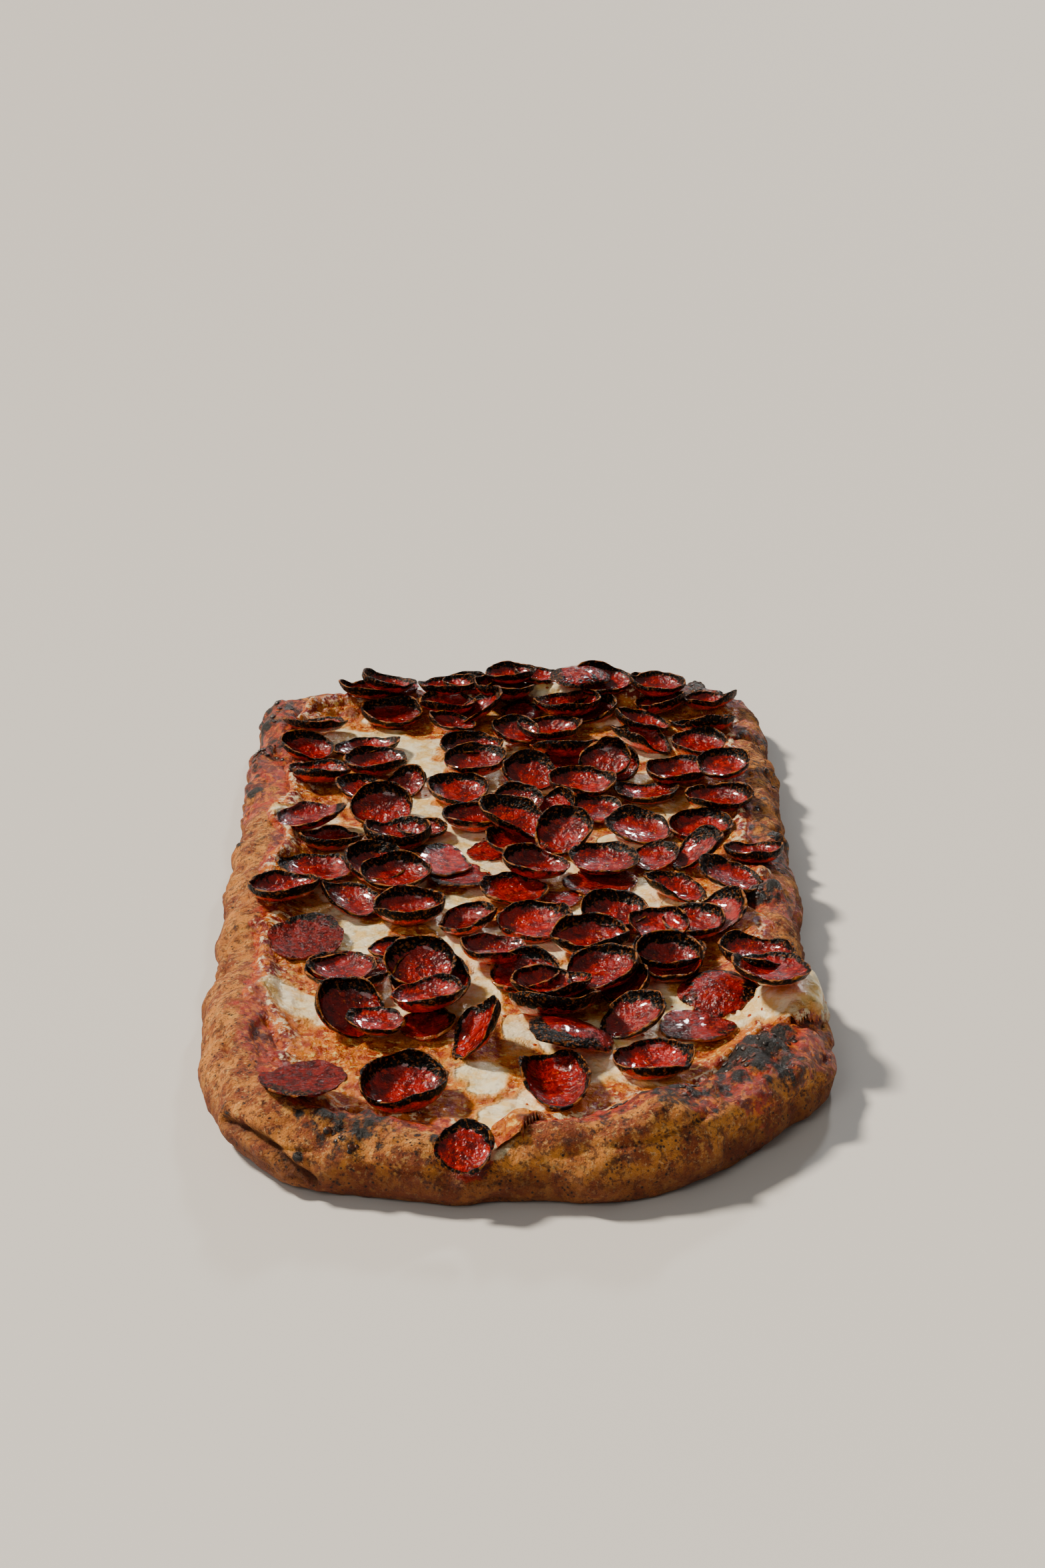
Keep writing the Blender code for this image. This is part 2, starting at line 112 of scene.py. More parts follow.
# Chosen blisters on the rim: x, y, radius, height, how burnt
CHOSEN_BLISTERS = (
    (-84, -233, 4.0, 1.2, 0.5),
    (-76, -236, 4.5, 1.5, 0.8),
    (-70, -240, 3.6, 1.2, 0.9),
    (-64, -237, 4.6, 1.6, 0.8),
    (-58, -240, 3.4, 1.1, 0.9),
    (-53, -236, 3.0, 1.0, 0.6),
    (-28, -236, 4.2, 1.4, 1.0),
    (-86, -248, 2.6, 1.2, 1.0),
    (-114, -218, 3.6, 1.2, 0.8),
    (28, -230, 4.2, 1.2, 0.5),
    (34, -224, 5.0, 1.8, 0.9),
    (47, -227, 3.4, 1.1, 0.8),
    (60, -224, 5.4, 1.7, 0.7),
    (72, -219, 4.8, 1.8, 0.8),
    (84, -212, 6.0, 2.2, 0.9),
    (92, -200, 8.0, 3.4, 1.0),
    (99, -186, 9.0, 4.0, 1.0),
    (90, -182, 6.0, 3.0, 1.0),
    (106, -172, 6.5, 2.6, 0.9),
    (112, -46, 5.0, 2.0, 1.0),
    (119, -38, 4.0, 1.6, 1.0),
    (124, 8, 6.0, 2.2, 0.9),
    (128, 30, 5.0, 1.8, 0.9),
    (127, 62, 4.6, 1.6, 0.8),
    (112, 252, 9.0, 5.0, 0.9),
    (124, 240, 7.0, 3.5, 0.8),
    (96, 254, 6.0, 3.0, 0.7),
    (-137, 96, 6.0, 2.6, 0.9),
    (-139, 128, 5.0, 2.4, 0.8),
    (-138, 156, 7.0, 3.0, 1.0),
    (-140, 190, 5.5, 2.6, 1.0),
    (-134, 214, 6.0, 2.6, 0.9),
)

# Mounds on the rim: x, y, radius, height
MOUNDS = ((50, -214, 20, 2.6), (94, -186, 18, 3.0), (106, 248, 20, 3.0), (-104, -236, 14, 1.6))

# Where the rim is burnt, and where sauce and orange oil have soaked it: x, y, radius, strength
BURNT = (
    (92, -188, 19, 1.0), (84, -198, 14, 0.95), (100, -196, 15, 0.9), (104, -176, 12, 0.7),
    (118, -160, 14, 0.4), (56, -226, 20, 0.75), (72, -214, 18, 0.7), (30, -232, 24, 0.4),
    (-66, -238, 19, 0.75), (124, 8, 22, 0.7), (128, 34, 20, 0.7), (127, 66, 20, 0.5), (115, -42, 14, 0.8),
    (112, 250, 24, 1.0), (128, 236, 20, 0.8), (-138, 100, 20, 0.55), (-138, 150, 30, 0.62),
    (-138, 200, 30, 0.7), (-126, 238, 24, 0.6), (134, 112, 24, 0.5), (138, 168, 24, 0.6),
    (-130, 30, 18, 0.35), (0, 256, 50, 0.45), (-70, 252, 40, 0.45),
)
SOAKED = (
    (-134, 75, 24, 0.6), (-137, 120, 30, 0.8), (-137, 165, 30, 0.85), (-134, 212, 26, 0.85),
    (-80, 250, 42, 0.9), (0, 254, 46, 1.0), (80, 250, 42, 1.0), (130, 236, 28, 1.0), (138, 180, 24, 0.5),
    (132, 100, 18, 0.35), (124, 10, 26, 0.6), (118, -46, 26, 0.6), (112, -104, 22, 0.5), (96, -190, 24, 0.8),
    (82, -216, 16, 0.9), (114, -160, 16, 1.0), (117, -178, 15, 0.9), (66, -228, 12, 0.8),
    (50, -214, 14, 0.9), (-104, -150, 22, 0.6), (-118, -100, 18, 0.35), (-100, -196, 16, 0.4),
    (-21, -254, 9, 0.8),
)

# Cheese that has run over the rim: a line of x, y points and half its width. It stands RUN_HEIGHT over the
# dough, and narrows below RUN_TAPERS.
RUNS = (
    (((4, -196), (0, -214), (-5, -228), (-9, -240), (-12, -250)), 8),
    (((112, -140), (121, -138), (128, -136), (133, -134)), 15),
)
RUN_HEIGHT = 1.7
RUN_TAPERS = 19

# How far burnt dough bulges
BURNT_RELIEF = 3.2

# The fold in the dough at the left front: its x, y, z points, width and depth, and how far its lips rise
FOLD_LINE = (
    (-116, -220, 15), (-109, -228, 17), (-100, -237, 18), (-94, -243, 16), (-88, -247, 12), (-80, -251, 8),
)
FOLD_WIDTH = 2.2
FOLD_DEPTH = 5.0
FOLD_LIPS = 2.4

# The sheet of melted cheese. At the front end it starts CHEESE_START in from the outline, elsewhere
# SIDE_REACH less, and BURNT_GAP more where the dough is burnt.
CHEESE_CELL = 1.2
CHEESE_SPAN = (134, 250)
CHEESE_THICKNESS = 4.2
EDGE_DEPTH = 1.6
CHEESE_START = 26
SIDE_REACH = 10
BURNT_GAP = 12
RUN_STOPS = 23
SLICE_CLEARANCE = 0.15
UNDER_CHEESE = 8
CLIMB = 0.45
CLIMB_REACH = 3
CHEESE_LUMPS = ((30, 0.9), (13, 1.1), (6, 0.7), (3, 0.25))
BUBBLES = 210
BUBBLE_RADII = (1.8, 5.5)
LEAST_CHEESE = 0.02

# Pale streams and pools of melted cheese: a line of x, y points and half its width
STREAMS = (
    (((-108, 166), (-92, 176), (-70, 174), (-54, 160), (-50, 140)), 11),
    (((-50, 140), (-54, 118), (-50, 92), (-50, 70)), 8),
    (((-30, 34), (-24, 22), (-12, 12)), 8),
    (((-92, -18), (-84, -26), (-78, -36)), 7),
    (((-52, -36), (-44, -48), (-34, -52)), 7),
    (((-84, -62), (-66, -74), (-44, -80), (-20, -84), (4, -84), (16, -80)), 7),
    (((70, -56), (80, -44), (84, -34)), 7),
    (((58, 62), (70, 64), (80, 58)), 7),
    (((20, 238), (32, 240), (40, 234)), 9),
    (((50, 166), (58, 160), (66, 152)), 8),
    (((56, 200), (66, 196)), 7),
    (((-102, -126), (-94, -136), (-84, -140)), 8),
    (((-60, -138), (-54, -146)), 7),
    (((14, -168), (30, -176), (44, -184), (48, -192)), 7),
    (((30, -158), (44, -162), (60, -166)), 6),
    (((22, -186), (6, -200), (0, -214), (-5, -226)), 7),
    (((-22, -190), (-12, -196)), 6),
    (((-116, 58), (-108, 64), (-100, 62)), 6),
    (((-26, 118), (-18, 124), (-12, 132)), 6),
    (((-80, 206), (-72, 214)), 6),
    (((14, 50), (22, 40), (24, 28)), 5),
    (((-78, 28), (-84, 40), (-84, 52)), 5),
    (((92, -150), (106, -143), (120, -138), (133, -134)), 12),
)
STREAM_FADE = 9
STREAM_SPREAD = 1.25

# The slices
SLICE_STATIONS = 56
UPPER_RINGS = 13
LOWER_RINGS = 8
SLICE_THICKNESS = 1.5
RIM_THICKNESS = 0.9
COARSE_SLICE = (12, 7, 4)
PROFILE_STEPS = 48
LOPSIDED = 0.16
PINCHED = 0.14
SPIN_STEP = 2.4
# Waves round a slice's rim: how many, and how strong at most
CRINKLES = ((2, 0.14), (3, 0.16), (4, 0.10), (5, 0.07), (7, 0.05), (11, 0.04), (17, 0.025))
# The eye that saw the slices, the level that they were seen on, and what takes that level's x and y to the
# pizza's own
EYE = np.array((-12, -903, 441))
SEEN_LEVEL = 25
SEEN_TO_ORIGIN = (1, -316.5)
# Each kind's wall angle at its rim, how late the wall rises, and the radius that a fold is bent round
KINDS = {
    "flat": (12, 1.5, None),
    "dome": (-30, 1.2, None),
    "dish": (60, 2.2, None),
    "cup": (86, 2.4, None),
    "deep": (100, 2.2, None),
    "fold": (40, 2.0, 24),
}

# The slices that the solids have: x and y on the seen level, width, kind, lean to the right, lean to the
# back, heading of a fold, how burnt. A lean is how far the slice's right or far side is tipped up.
SLICES = (
    (-24, 63, 22, "dish", 0, 30, 0, 0.5),
    (-88, 110, 34, "flat", -1, -9, 0, 0.0),
    (-48, 106, 33, "deep", 0, 8, 0, 0.9),
    (11, 110, 38, "fold", 0, 2, 95, 0.8),
    (51, 123, 31, "cup", 8, -6, 0, 0.45),
    (19, 145, 38, "dome", -14, -14, 0, 0.2),
    (-40, 190, 36, "cup", 3, 8, 0, 0.4),
    (-40, 173, 30, "cup", 10, -6, 0, 0.35),
    (-20, 153, 30, "dish", 48, 4, 0, 0.7),
    (-73, 169, 30, "cup", -18, 24, 0, 0.7),
    (-1, 200, 29, "cup", 6, 12, 0, 0.35),
    (34, 199, 33, "cup", 12, 0, 0, 0.45),
    (13, 171, 38, "cup", 4, -26, 0, 0.8),
    (45, 160, 29, "dish", 24, 8, 0, 0.9),
    (66, 207, 32, "deep", -4, 6, 0, 0.8),
    (103, 215, 32, "cup", -4, -2, 0, 0.6),
    (-97, 234, 35, "flat", 0, 8, 0, 0.0),
    (-111, 286, 35, "cup", 4, -12, 0, 0.7),
    (-102, 304, 35, "dish", -6, -2, 0, 0.6),
    (-79, 275, 34, "fold", -16, -4, 118, 0.8),
    (-69, 312, 32, "cup", -10, 10, 0, 0.9),
    (-54, 263, 32, "deep", 2, -4, 0, 0.9),
    (-26, 249, 27, "cup", 16, -6, 0, 0.45),
    (-60, 346, 35, "deep", -2, -6, 0, 0.85),
    (-70, 380, 31, "cup", 0, 26, 0, 0.8),
    (-105, 369, 34, "dish", 10, -4, 0, 0.3),
    (-31, 401, 33, "cup", -3, 6, 0, 0.6),
    (-22, 365, 32, "cup", -4, -6, 0, 0.3),
    (23, 347, 30, "cup", 16, 30, 0, 0.85),
    (60, 353, 35, "dish", -8, 4, 0, 1.0),
    (88, 354, 31, "cup", 6, 4, 0, 0.45),
    (68, 397, 34, "dish", 0, -6, 0, 0.8),
    (105, 387, 35, "cup", 4, -8, 0, 0.7),
    (86, 325, 30, "dish", 38, 2, 0, 0.7),
    (113, 324, 30, "cup", 0, -14, 0, 0.8),
    (41, 314, 34, "dish", 4, 0, 0, 0.35),
    (43, 255, 30, "cup", -4, 14, 0, 0.8),
    (90, 257, 30, "dish", 28, 10, 0, 0.7),
    (1, 246, 33, "cup", 8, 4, 0, 0.35),
    (30, 232, 34, "deep", -2, -2, 0, 0.7),
    (-3, 279, 33, "dish", -4, -4, 0, 0.3),
    (-105, 432, 32, "cup", 0, -10, 0, 0.6),
    (-82, 464, 36, "dish", 4, -8, 0, 0.6),
    (-70, 515, 37, "cup", 0, 0, 0, 1.0),
    (-113, 505, 35, "dish", -2, -16, 0, 0.9),
    (-24, 462, 35, "cup", -4, -4, 0, 0.8),
    (7, 425, 30, "cup", -6, 20, 0, 0.9),
    (48, 441, 27, "cup", 14, 34, 0, 0.8),
    (87, 425, 36, "cup", 2, -8, 0, 0.7),
    (102, 466, 31, "cup", 4, 6, 0, 0.5),
    (107, 495, 35, "cup", 4, -22, 0, 0.6),
    (115, 536, 32, "cup", 10, -14, 0, 1.0),
    (31, 529, 38, "cup", 2, -6, 0, 0.5),
    (-20, 526, 32, "dish", 34, -2, 0, 0.6),
    (-7, 556, 37, "cup", -4, -8, 0, 0.6),
    (-39, 562, 34, "cup", 2, -8, 0, 0.7),
    (48, 557, 34, "cup", -6, 10, 0, 0.8),
    (87, 535, 31, "cup", 14, -10, 0, 0.6),
)
# Those that lie mostly under or between others
TUCKED_SLICES = (
    (-35, 154, 23, "dish", 10, 4, 0, 0.3),
    (-10, 211, 29, "cup", -6, -8, 0, 0.3),
    (38, 188, 24, "cup", 22, 6, 0, 0.6),
    (80, 184, 33, "dome", 4, 10, 0, 0.2),
    (71, 151, 31, "flat", 0, -4, 0, 0.1),
    (59, 240, 28, "cup", 0, 2, 0, 0.3),
    (-27, 296, 32, "flat", 0, -8, 0, 0.2),
    (20, 270, 19, "flat", 0, -2, 0, 0.3),
    (-14, 325, 23, "flat", 0, 0, 0, 0.3),
    (38, 288, 35, "flat", 0, -2, 0, 0.15),
    (66, 318, 24, "dish", 6, 10, 0, 0.3),
    (41, 375, 26, "dish", 0, 8, 0, 0.35),
    (-5, 379, 26, "dish", 6, 26, 0, 0.3),
    (-42, 317, 33, "flat", -8, 0, 0, 0.3),
    (37, 411, 35, "cup", 4, 0, 0, 0.4),
    (27, 465, 36, "cup", 0, -20, 0, 0.3),
    (21, 490, 38, "cup", 0, -10, 0, 0.7),
    (-84, 408, 27, "dish", -12, 10, 0, 0.8),
    (43, 577, 34, "dome", 0, 2, 0, 0.5),
    (-67, 568, 21, "flat", 0, 8, 0, 0.1),
    (-60, 152, 24, "dish", -6, -2, 0, 0.35),
    (-74, 196, 36, "cup", -4, -10, 0, 0.4),
    (-83, 197, 30, "dish", 0, -2, 0, 0.3),
    (-47, 205, 29, "cup", 0, 28, 0, 1.0),
    (14, 187, 34, "cup", 0, -14, 0, 0.7),
    (104, 197, 34, "dish", -2, -6, 0, 0.9),
    (-58, 221, 20, "cup", 0, -2, 0, 0.6),
    (62, 219, 33, "cup", 0, -6, 0, 0.6),
    (75, 236, 29, "cup", 6, 2, 0, 0.4),
    (-60, 291, 32, "cup", 0, 4, 0, 0.9),
    (73, 284, 30, "fold", -14, 2, -30, 0.9),
    (99, 293, 30, "dish", -18, 4, 0, 1.0),
    (8, 303, 31, "cup", -10, -2, 0, 0.3),
    (4, 329, 32, "dish", -10, -2, 0, 0.3),
    (-53, 350, 25, "cup", 0, -6, 0, 0.5),
    (-95, 347, 30, "cup", 0, -12, 0, 0.6),
    (-5, 352, 38, "fold", -18, 10, -30, 0.8),
    (18, 378, 25, "dish", 36, 26, 0, 0.3),
    (-78, 438, 34, "cup", 0, -2, 0, 0.7),
    (-63, 414, 22, "cup", 14, 24, 0, 1.0),
    (-113, 468, 28, "cup", -10, 8, 0, 0.8),
    (-23, 431, 33, "cup", 0, 6, 0, 0.4),
    (29, 439, 29, "cup", 0, 4, 0, 0.6),
    (55, 437, 22, "cup", 14, 46, 0, 0.6),
    (111, 428, 28, "cup", 0, 10, 0, 0.6),
    (76, 503, 33, "cup", -14, -10, 0, 0.8),
    (73, 481, 36, "fold", -18, -2, -35, 0.9),
    (43, 530, 29, "cup", 10, 6, 0, 0.9),
    (-1, 476, 27, "cup", -6, 10, 0, 0.4),
    (-41, 534, 32, "cup", -4, -4, 0, 0.7),
    (-30, 497, 28, "cup", -16, -8, 0, 0.8),
    (83, 554, 32, "cup", 0, 0, 0, 0.5),
    (0, 575, 29, "cup", 0, -4, 0, 0.8),
    (12, 589, 28, "cup", -8, -6, 0, 0.9),
    (-22, 583, 30, "cup", 0, 0, 0, 0.4),
    (-87, 553, 30, "cup", -12, -14, 0, 0.9),
    (-77, 562, 32, "cup", -12, -10, 0, 0.7),
    (74, 567, 14, "dish", 0, 22, 0, 1.0),
    (5, 524, 22, "flat", 0, 14, 0, 0.2),
)
SINK = 0.6
BACK_MARGIN = 15
OVERHEAD = 90
RAY_LENGTH = 30
SEATING_POINTS = 7
SEATING_STEP = 0.6
SEATING_REACH = 4
NUDGES = (2.5, 5.0)
NUDGE_WAYS = 6
NUDGE_COST = 0.6
CROSSING_COST = 0.4
# How far a slice may reach from its middle, as a share of its width
SLICE_REACH = 0.6


# Numbers and noise

# Large numbers that stir a cell's place into one that looks random
AXIS_MIXERS = (73856093, 19349663, 83492791)
SEED_MIXER = 40503
LAST_MIXER = 1274126177


def smooth(low, high, value):
    """0 at low, 1 at high, and an even climb between them. Low may be the larger of the two."""
    share = np.clip((value - low) / (high - low), 0, 1)
    return share * share * (3 - 2 * share)


def hashed(cells, seed):
    """A number from -1 to 1 for each whole-number cell."""
    mixed = seed * SEED_MIXER
    for axis, mixer in enumerate(AXIS_MIXERS):
        mixed = mixed ^ (cells[..., axis] * mixer)
    mixed = (mixed ^ (mixed >> 13)) * LAST_MIXER
    return ((mixed ^ (mixed >> 16)) & 0xFFFF) / 32767.5 - 1


def lumps(points, size, seed):
    """Smooth noise from -1 to 1 at rows of points, with lumps about that many millimetres across."""
    place = points / size + 100
    cell = np.floor(place).astype(np.int64)
    share = place - cell
    share = share ** 3 * (share * (share * 6 - 15) + 10)
    total = 0
    for corner in itertools.product((0, 1), repeat=3):
        weight = np.prod(np.where(np.array(corner) == 1, share, 1 - share), axis=-1)
        total = total + weight * hashed(cell + np.array(corner), seed)
    return total


def layered(points, layers, seed):
    """Several sizes of noise, each with its own height."""
    return sum(height * lumps(points, size, seed + i) for i, (size, height) in enumerate(layers))


def spots(points, rows):
    """The strongest of some round spots, each with its x, y, radius and strength."""
    total = np.zeros(points.shape[:-1])
    for x, y, radius, strength in rows:
        away = np.hypot(points[..., 0] - x, points[..., 1] - y)
        total = np.maximum(total, strength * (1 - smooth(0.35 * radius, 1.25 * radius, away)))
    return total


def line_distance(points, line):
    """How far rows of points are from a line of x, y, z points, or from above from one of x, y points."""
    axes = len(line[0])
    nearest = np.full(points.shape[:-1], np.inf)
    for a, b in zip(line, line[1:]):
        a, b = np.array(a, float), np.array(b, float)
        share = np.clip(((points[..., :axes] - a) @ (b - a)) / ((b - a) @ (b - a)), 0, 1)
        away = points[..., :axes] - a - share[..., None] * (b - a)
        nearest = np.minimum(nearest, np.linalg.norm(away, axis=-1))
    return nearest


# Meshes

def mesh_piece(name, points, faces, material, values=None):
    """An object from points in millimetres, with values at its points for its material's attributes."""
    mesh = bpy.data.meshes.new(name)
    mesh.from_pydata((points * MM).tolist(), [], faces)
    for key, numbers in (values or {}).items():
        attribute = mesh.attributes.new(key, "FLOAT", "POINT")
        attribute.data.foreach_set("value", np.asarray(numbers, np.float32).ravel())
    mesh.materials.append(material)
    mesh.shade_smooth()
    piece = bpy.data.objects.new(name, mesh)
    bpy.context.scene.collection.objects.link(piece)
    return piece


def loop_faces(stations, rings):
    """The quads of a closed band: rings rings of stations points each, ring by ring."""
    station = np.arange(stations)
    after = (station + 1) % stations
    faces = []
    for ring in range(rings - 1):
        low, high = ring * stations, (ring + 1) * stations
        faces.append(np.stack([low + station, high + station, high + after, low + after], 1))
    return np.concatenate(faces)


def tree_of(points, faces):
    return BVHTree.FromPolygons(points.tolist(), faces)


# The dough

def wave(waves, share):
    return sum(height * np.sin(TAU * count * share + phase) for count, height, phase in waves)


def signed_power(value, power):
    return np.sign(value) * np.abs(value) ** power


def end_arc(half_width, rounding, middle, angle):
    x = half_width * signed_power(np.cos(angle), 2 / CORNER_POWER)
    y = rounding * signed_power(np.sin(angle), 2 / CORNER_POWER)
    return np.stack([x, y + middle], 1)


def outline(count):
    """The outline's points at even steps, anticlockwise from the left side, round the front end first."""
    turn = np.linspace(0, math.pi, 200)
    front = end_arc(FRONT_WIDTH / 2, FRONT_ROUNDING, -LENGTH / 2 + FRONT_ROUNDING, math.pi + turn)
    back = end_arc(BACK_WIDTH / 2, BACK_ROUNDING, LENGTH / 2 - BACK_ROUNDING, turn)
    line = np.concatenate([front, back, front[:1]])
    walked = np.concatenate([[0], np.cumsum(np.linalg.norm(np.diff(line, axis=0), axis=1))])
    share = np.arange(count) / count
    plain = np.stack([np.interp(share * walked[-1], walked, line[:, axis]) for axis in (0, 1)], 1)
    along = np.roll(plain, -1, 0) - np.roll(plain, 1, 0)
    outwards = np.stack([along[:, 1], -along[:, 0]], 1) / np.linalg.norm(along, axis=1)[:, None]
    out = wave(EDGE_WAVES, share)
    for x, y, width, far in EDGE_BULGES:
        out = out + far * np.exp(-(np.hypot(plain[:, 0] - x, plain[:, 1] - y) / width) ** 2)
    wavy = plain + outwards * out[:, None]
    return wavy - (wavy.min(0) + wavy.max(0)) / 2


def rim_height(share, edge):
    from_notch = (edge[:, 0] - NOTCH_AT) / NOTCH_WIDTH
    notch = np.where(edge[:, 1] < 0, NOTCH_DEPTH * np.exp(-(from_notch ** 2)), 0)
    from_front = (edge[:, 1] + LENGTH / 2) / FRONT_RISE_LENGTH
    return RIM_HEIGHT + FRONT_RISE * np.exp(-(from_front ** 2)) + wave(RIM_WAVES, share) - notch


def crust_section(height):
    """Inset and height for every station and ring, from the floor under the cheese over the rim to the
    underside, and how much of the dough's lumpiness each ring gets."""
    level = np.zeros(len(height))
    rows = [(inset, FLOOR + level, 0.5) for inset in np.linspace(FLOOR_REACH, RIM_WIDTH, FLOOR_RINGS, False)]
    for share in np.linspace(0, 1, SLOPE_RINGS, False):
        inset = RIM_WIDTH + (CREST_INSET - RIM_WIDTH) * share
        climb = (1 - math.cos(math.pi * share)) / 2
        rows.append((inset, FLOOR + (height - FLOOR) * climb, 0.5 + 0.5 * share))
    for turn in np.linspace(0, math.pi / 2, SIDE_RINGS, False):
        rows.append((CREST_INSET * (1 - math.sin(turn)), BELLY + (height - BELLY) * math.cos(turn), 1.0))
    for turn in np.linspace(0, math.pi / 2, HEEL_RINGS, False):
        rows.append((UNDERCUT * (1 - math.cos(turn)), BELLY * (1 - math.sin(turn)) + level, 1 - turn / 2))
    for inset in np.linspace(UNDERCUT, UNDER_REACH, UNDER_RINGS):
        rows.append((inset, level, 0.1))
    inset = np.array([row[0] for row in rows])
    return inset, np.stack([row[1] for row in rows]), np.array([row[2] for row in rows])


def surface_normals(points):
    """Outward normals of a closed band of points, ring by station."""
    along = np.roll(points, -1, 1) - np.roll(points, 1, 1)
    across = np.gradient(points, axis=0)
    normal = np.cross(across, along)
    return normal / np.maximum(np.linalg.norm(normal, axis=-1, keepdims=True), 1e-9)


def raised_domes(points, domes):
    """How far round domes stand out at the points, and how burnt they are there. A dome has a centre, a
    radius, a height and a burn."""
    height, burn = np.zeros(points.shape[:-1]), np.zeros(points.shape[:-1])
    for centre, radius, tall, burnt in domes:
        away = np.linalg.norm(points - centre, axis=-1) / radius
        near = away < 1.3
        dome = np.maximum(1 - away[near] ** 2, 0) ** 1.5
        height[near] += tall * dome
        burn[near] = np.maximum(burn[near], burnt * (1 - smooth(0.5, 1.3, away[near])))
    return height, burn


def slice_distance(flat):
    """How far points, seen from above, are from the nearest slice of the solids; negative under one."""
    nearest = np.full(flat.shape[:-1], np.inf)
    for number in range(len(SLICES)):
        low, high = (np.array(corner)[:2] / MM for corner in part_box(node_name(number)))
        away = np.linalg.norm((flat - (low + high) / 2) / (high - low) * 2, axis=-1)
        nearest = np.minimum(nearest, (away - 1) * (high - low).mean() / 2)
    return nearest


def crust_shape():
    """The dough's surface, ring by station, with the values that its material reads."""
    rng = np.random.default_rng(11)
    edge = outline(CRUST_STATIONS)
    middle = np.stack([np.zeros(len(edge)), np.clip(edge[:, 1], -MEDIAL_HALF, MEDIAL_HALF)], 1)
    inwards = (middle - edge) / np.linalg.norm(middle - edge, axis=1)[:, None]
    inset, height, lumpy = crust_section(rim_height(np.arange(len(edge)) / len(edge), edge))
    flat = edge[None] + inwards[None] * inset[:, None, None]
    base = np.concatenate([flat, height[..., None]], 2)
    normal = surface_normals(base)
    crest = FLOOR_RINGS + SLOPE_RINGS

    domes = []
    for _ in range(BLISTERS):
        ring = int(rng.triangular(*(crest + away for away in BLISTER_RINGS)))
        radius = rng.uniform(*BLISTER_RADII) * rng.uniform(0.5, 1)
        burnt = rng.uniform(0, 0.9) if rng.uniform() < 0.5 else 0
        centre = base[ring, rng.integers(len(edge))]
        domes.append((centre, radius, radius * rng.uniform(*BLISTER_HEIGHTS), burnt))
    top = base[crest + CHOSEN_RINGS[0]:crest + CHOSEN_RINGS[1]].reshape(-1, 3)
    for x, y, radius, tall, burnt in CHOSEN_BLISTERS:
        centre = top[np.argmin(np.hypot(top[:, 0] - x, top[:, 1] - y))]
        domes.append((centre, radius, tall, burnt))

    upper = smooth(BELLY - 2, BELLY + 5, height) * (np.arange(len(inset))[:, None] < crest + SIDE_RINGS)
    run = np.zeros(height.shape)
    taper = np.maximum(RUN_TAPERS - base[..., 2], 0)
    for line, half_width in RUNS:
        ragged = line_distance(base, line) + 3.5 * lumps(base, 9, 61) + taper
        run = np.maximum(run, (1 - smooth(0.55 * half_width, 1.1 * half_width, ragged)) * upper)
    fold_distance = line_distance(base, FOLD_LINE) / FOLD_WIDTH
    folded = np.exp(-fold_distance ** 2)

    dome_height, dome_burn = raised_domes(base, domes)
    out = layered(base, DOUGH_LUMPS, 3) * lumpy[:, None]
    walked = np.arange(len(edge)) * TAU / len(edge)
    around = np.stack([np.cos(walked), np.sin(walked)], 1) * WRINKLE_RADIUS
    around = around / WRINKLE_SIZE[0] * WRINKLE_SIZE[1]
    stretched = np.concatenate([np.broadcast_to(around, (*height.shape, 2)), base[..., 2:]], 2)
    wrinkled = np.maximum(1 - np.abs(lumps(stretched, WRINKLE_SIZE[1], 12)) / WRINKLE_SHARE, 0)
    out -= WRINKLES * lumpy[:, None] * wrinkled
    out += dome_height * (1 - run) + RUN_HEIGHT * run + 0.5 * run * lumps(base, 6, 5)
    out += FOLD_LIPS * np.exp(-(fold_distance / 3) ** 2) - FOLD_DEPTH * folded
    for x, y, radius, tall in MOUNDS:
        out += tall * np.exp(-(np.hypot(base[..., 0] - x, base[..., 1] - y) / radius) ** 2) * upper
    scorch = np.maximum(spots(base, BURNT) * (0.4 + 0.6 * upper), dome_burn)
    out += BURNT_RELIEF * spots(base, BURNT) * (0.3 + lumps(base, 10, 8) + 0.5 * lumps(base, 5, 9)) * upper
    covered = smooth(2, -1, slice_distance(base[..., :2])) * upper
    out = out * (1 - covered) + np.minimum(out, 0) * 0.3 * covered
    points = base + normal * out[..., None]
    points[..., 2] = np.maximum(points[..., 2], 0)

    soaked = np.maximum(spots(base, SOAKED), 0.9 * smooth(CREST_INSET - 6, CREST_INSET + 8, inset)[:, None])
    soaked[crest + SIDE_RINGS:] = 0
    values = {
        "burnt": scorch,
        "grainy": smooth(0.6, 1.0, spots(base, BURNT) + 0.35 * lumps(base, 9, 14)) * upper,
        "soaked": soaked * upper,
        "run": run,
        # the fold's crease, where shade is painted on the crust
        "crease": folded,
        "high": smooth(5, 27, points[..., 2]),
    }
    return points, values


def closed_band(points):
    """Faces of a closed band of points, ring by station, with its two ends filled."""
    rings, stations = points.shape[:2]
    faces = loop_faces(stations, rings).tolist()
    faces.append(list(range(stations)))
    faces.append(list(range((rings - 1) * stations, rings * stations))[::-1])
    return faces


# The slices

def wall_profiles(wall, lateness, reach):
    """Radius and height of a slice of radius 1, for each station, at the shares reach: its slope grows from
    0 in its middle to its wall angle at its rim."""
    middle = (np.arange(PROFILE_STEPS) + 0.5) / PROFILE_STEPS
    slope = np.radians(wall)[:, None] * middle ** lateness
    radius = np.cumsum(np.cos(slope), 1) / PROFILE_STEPS
    height = np.cumsum(np.sin(slope), 1) / PROFILE_STEPS
    steps = np.arange(PROFILE_STEPS + 1) / PROFILE_STEPS
    start = np.zeros((len(wall), 1))
    radius, height = np.hstack([start, radius]), np.hstack([start, height])
    read = [np.stack([np.interp(reach, steps, row) for row in table], 1) for table in (radius, height)]
    return read[0], read[1]


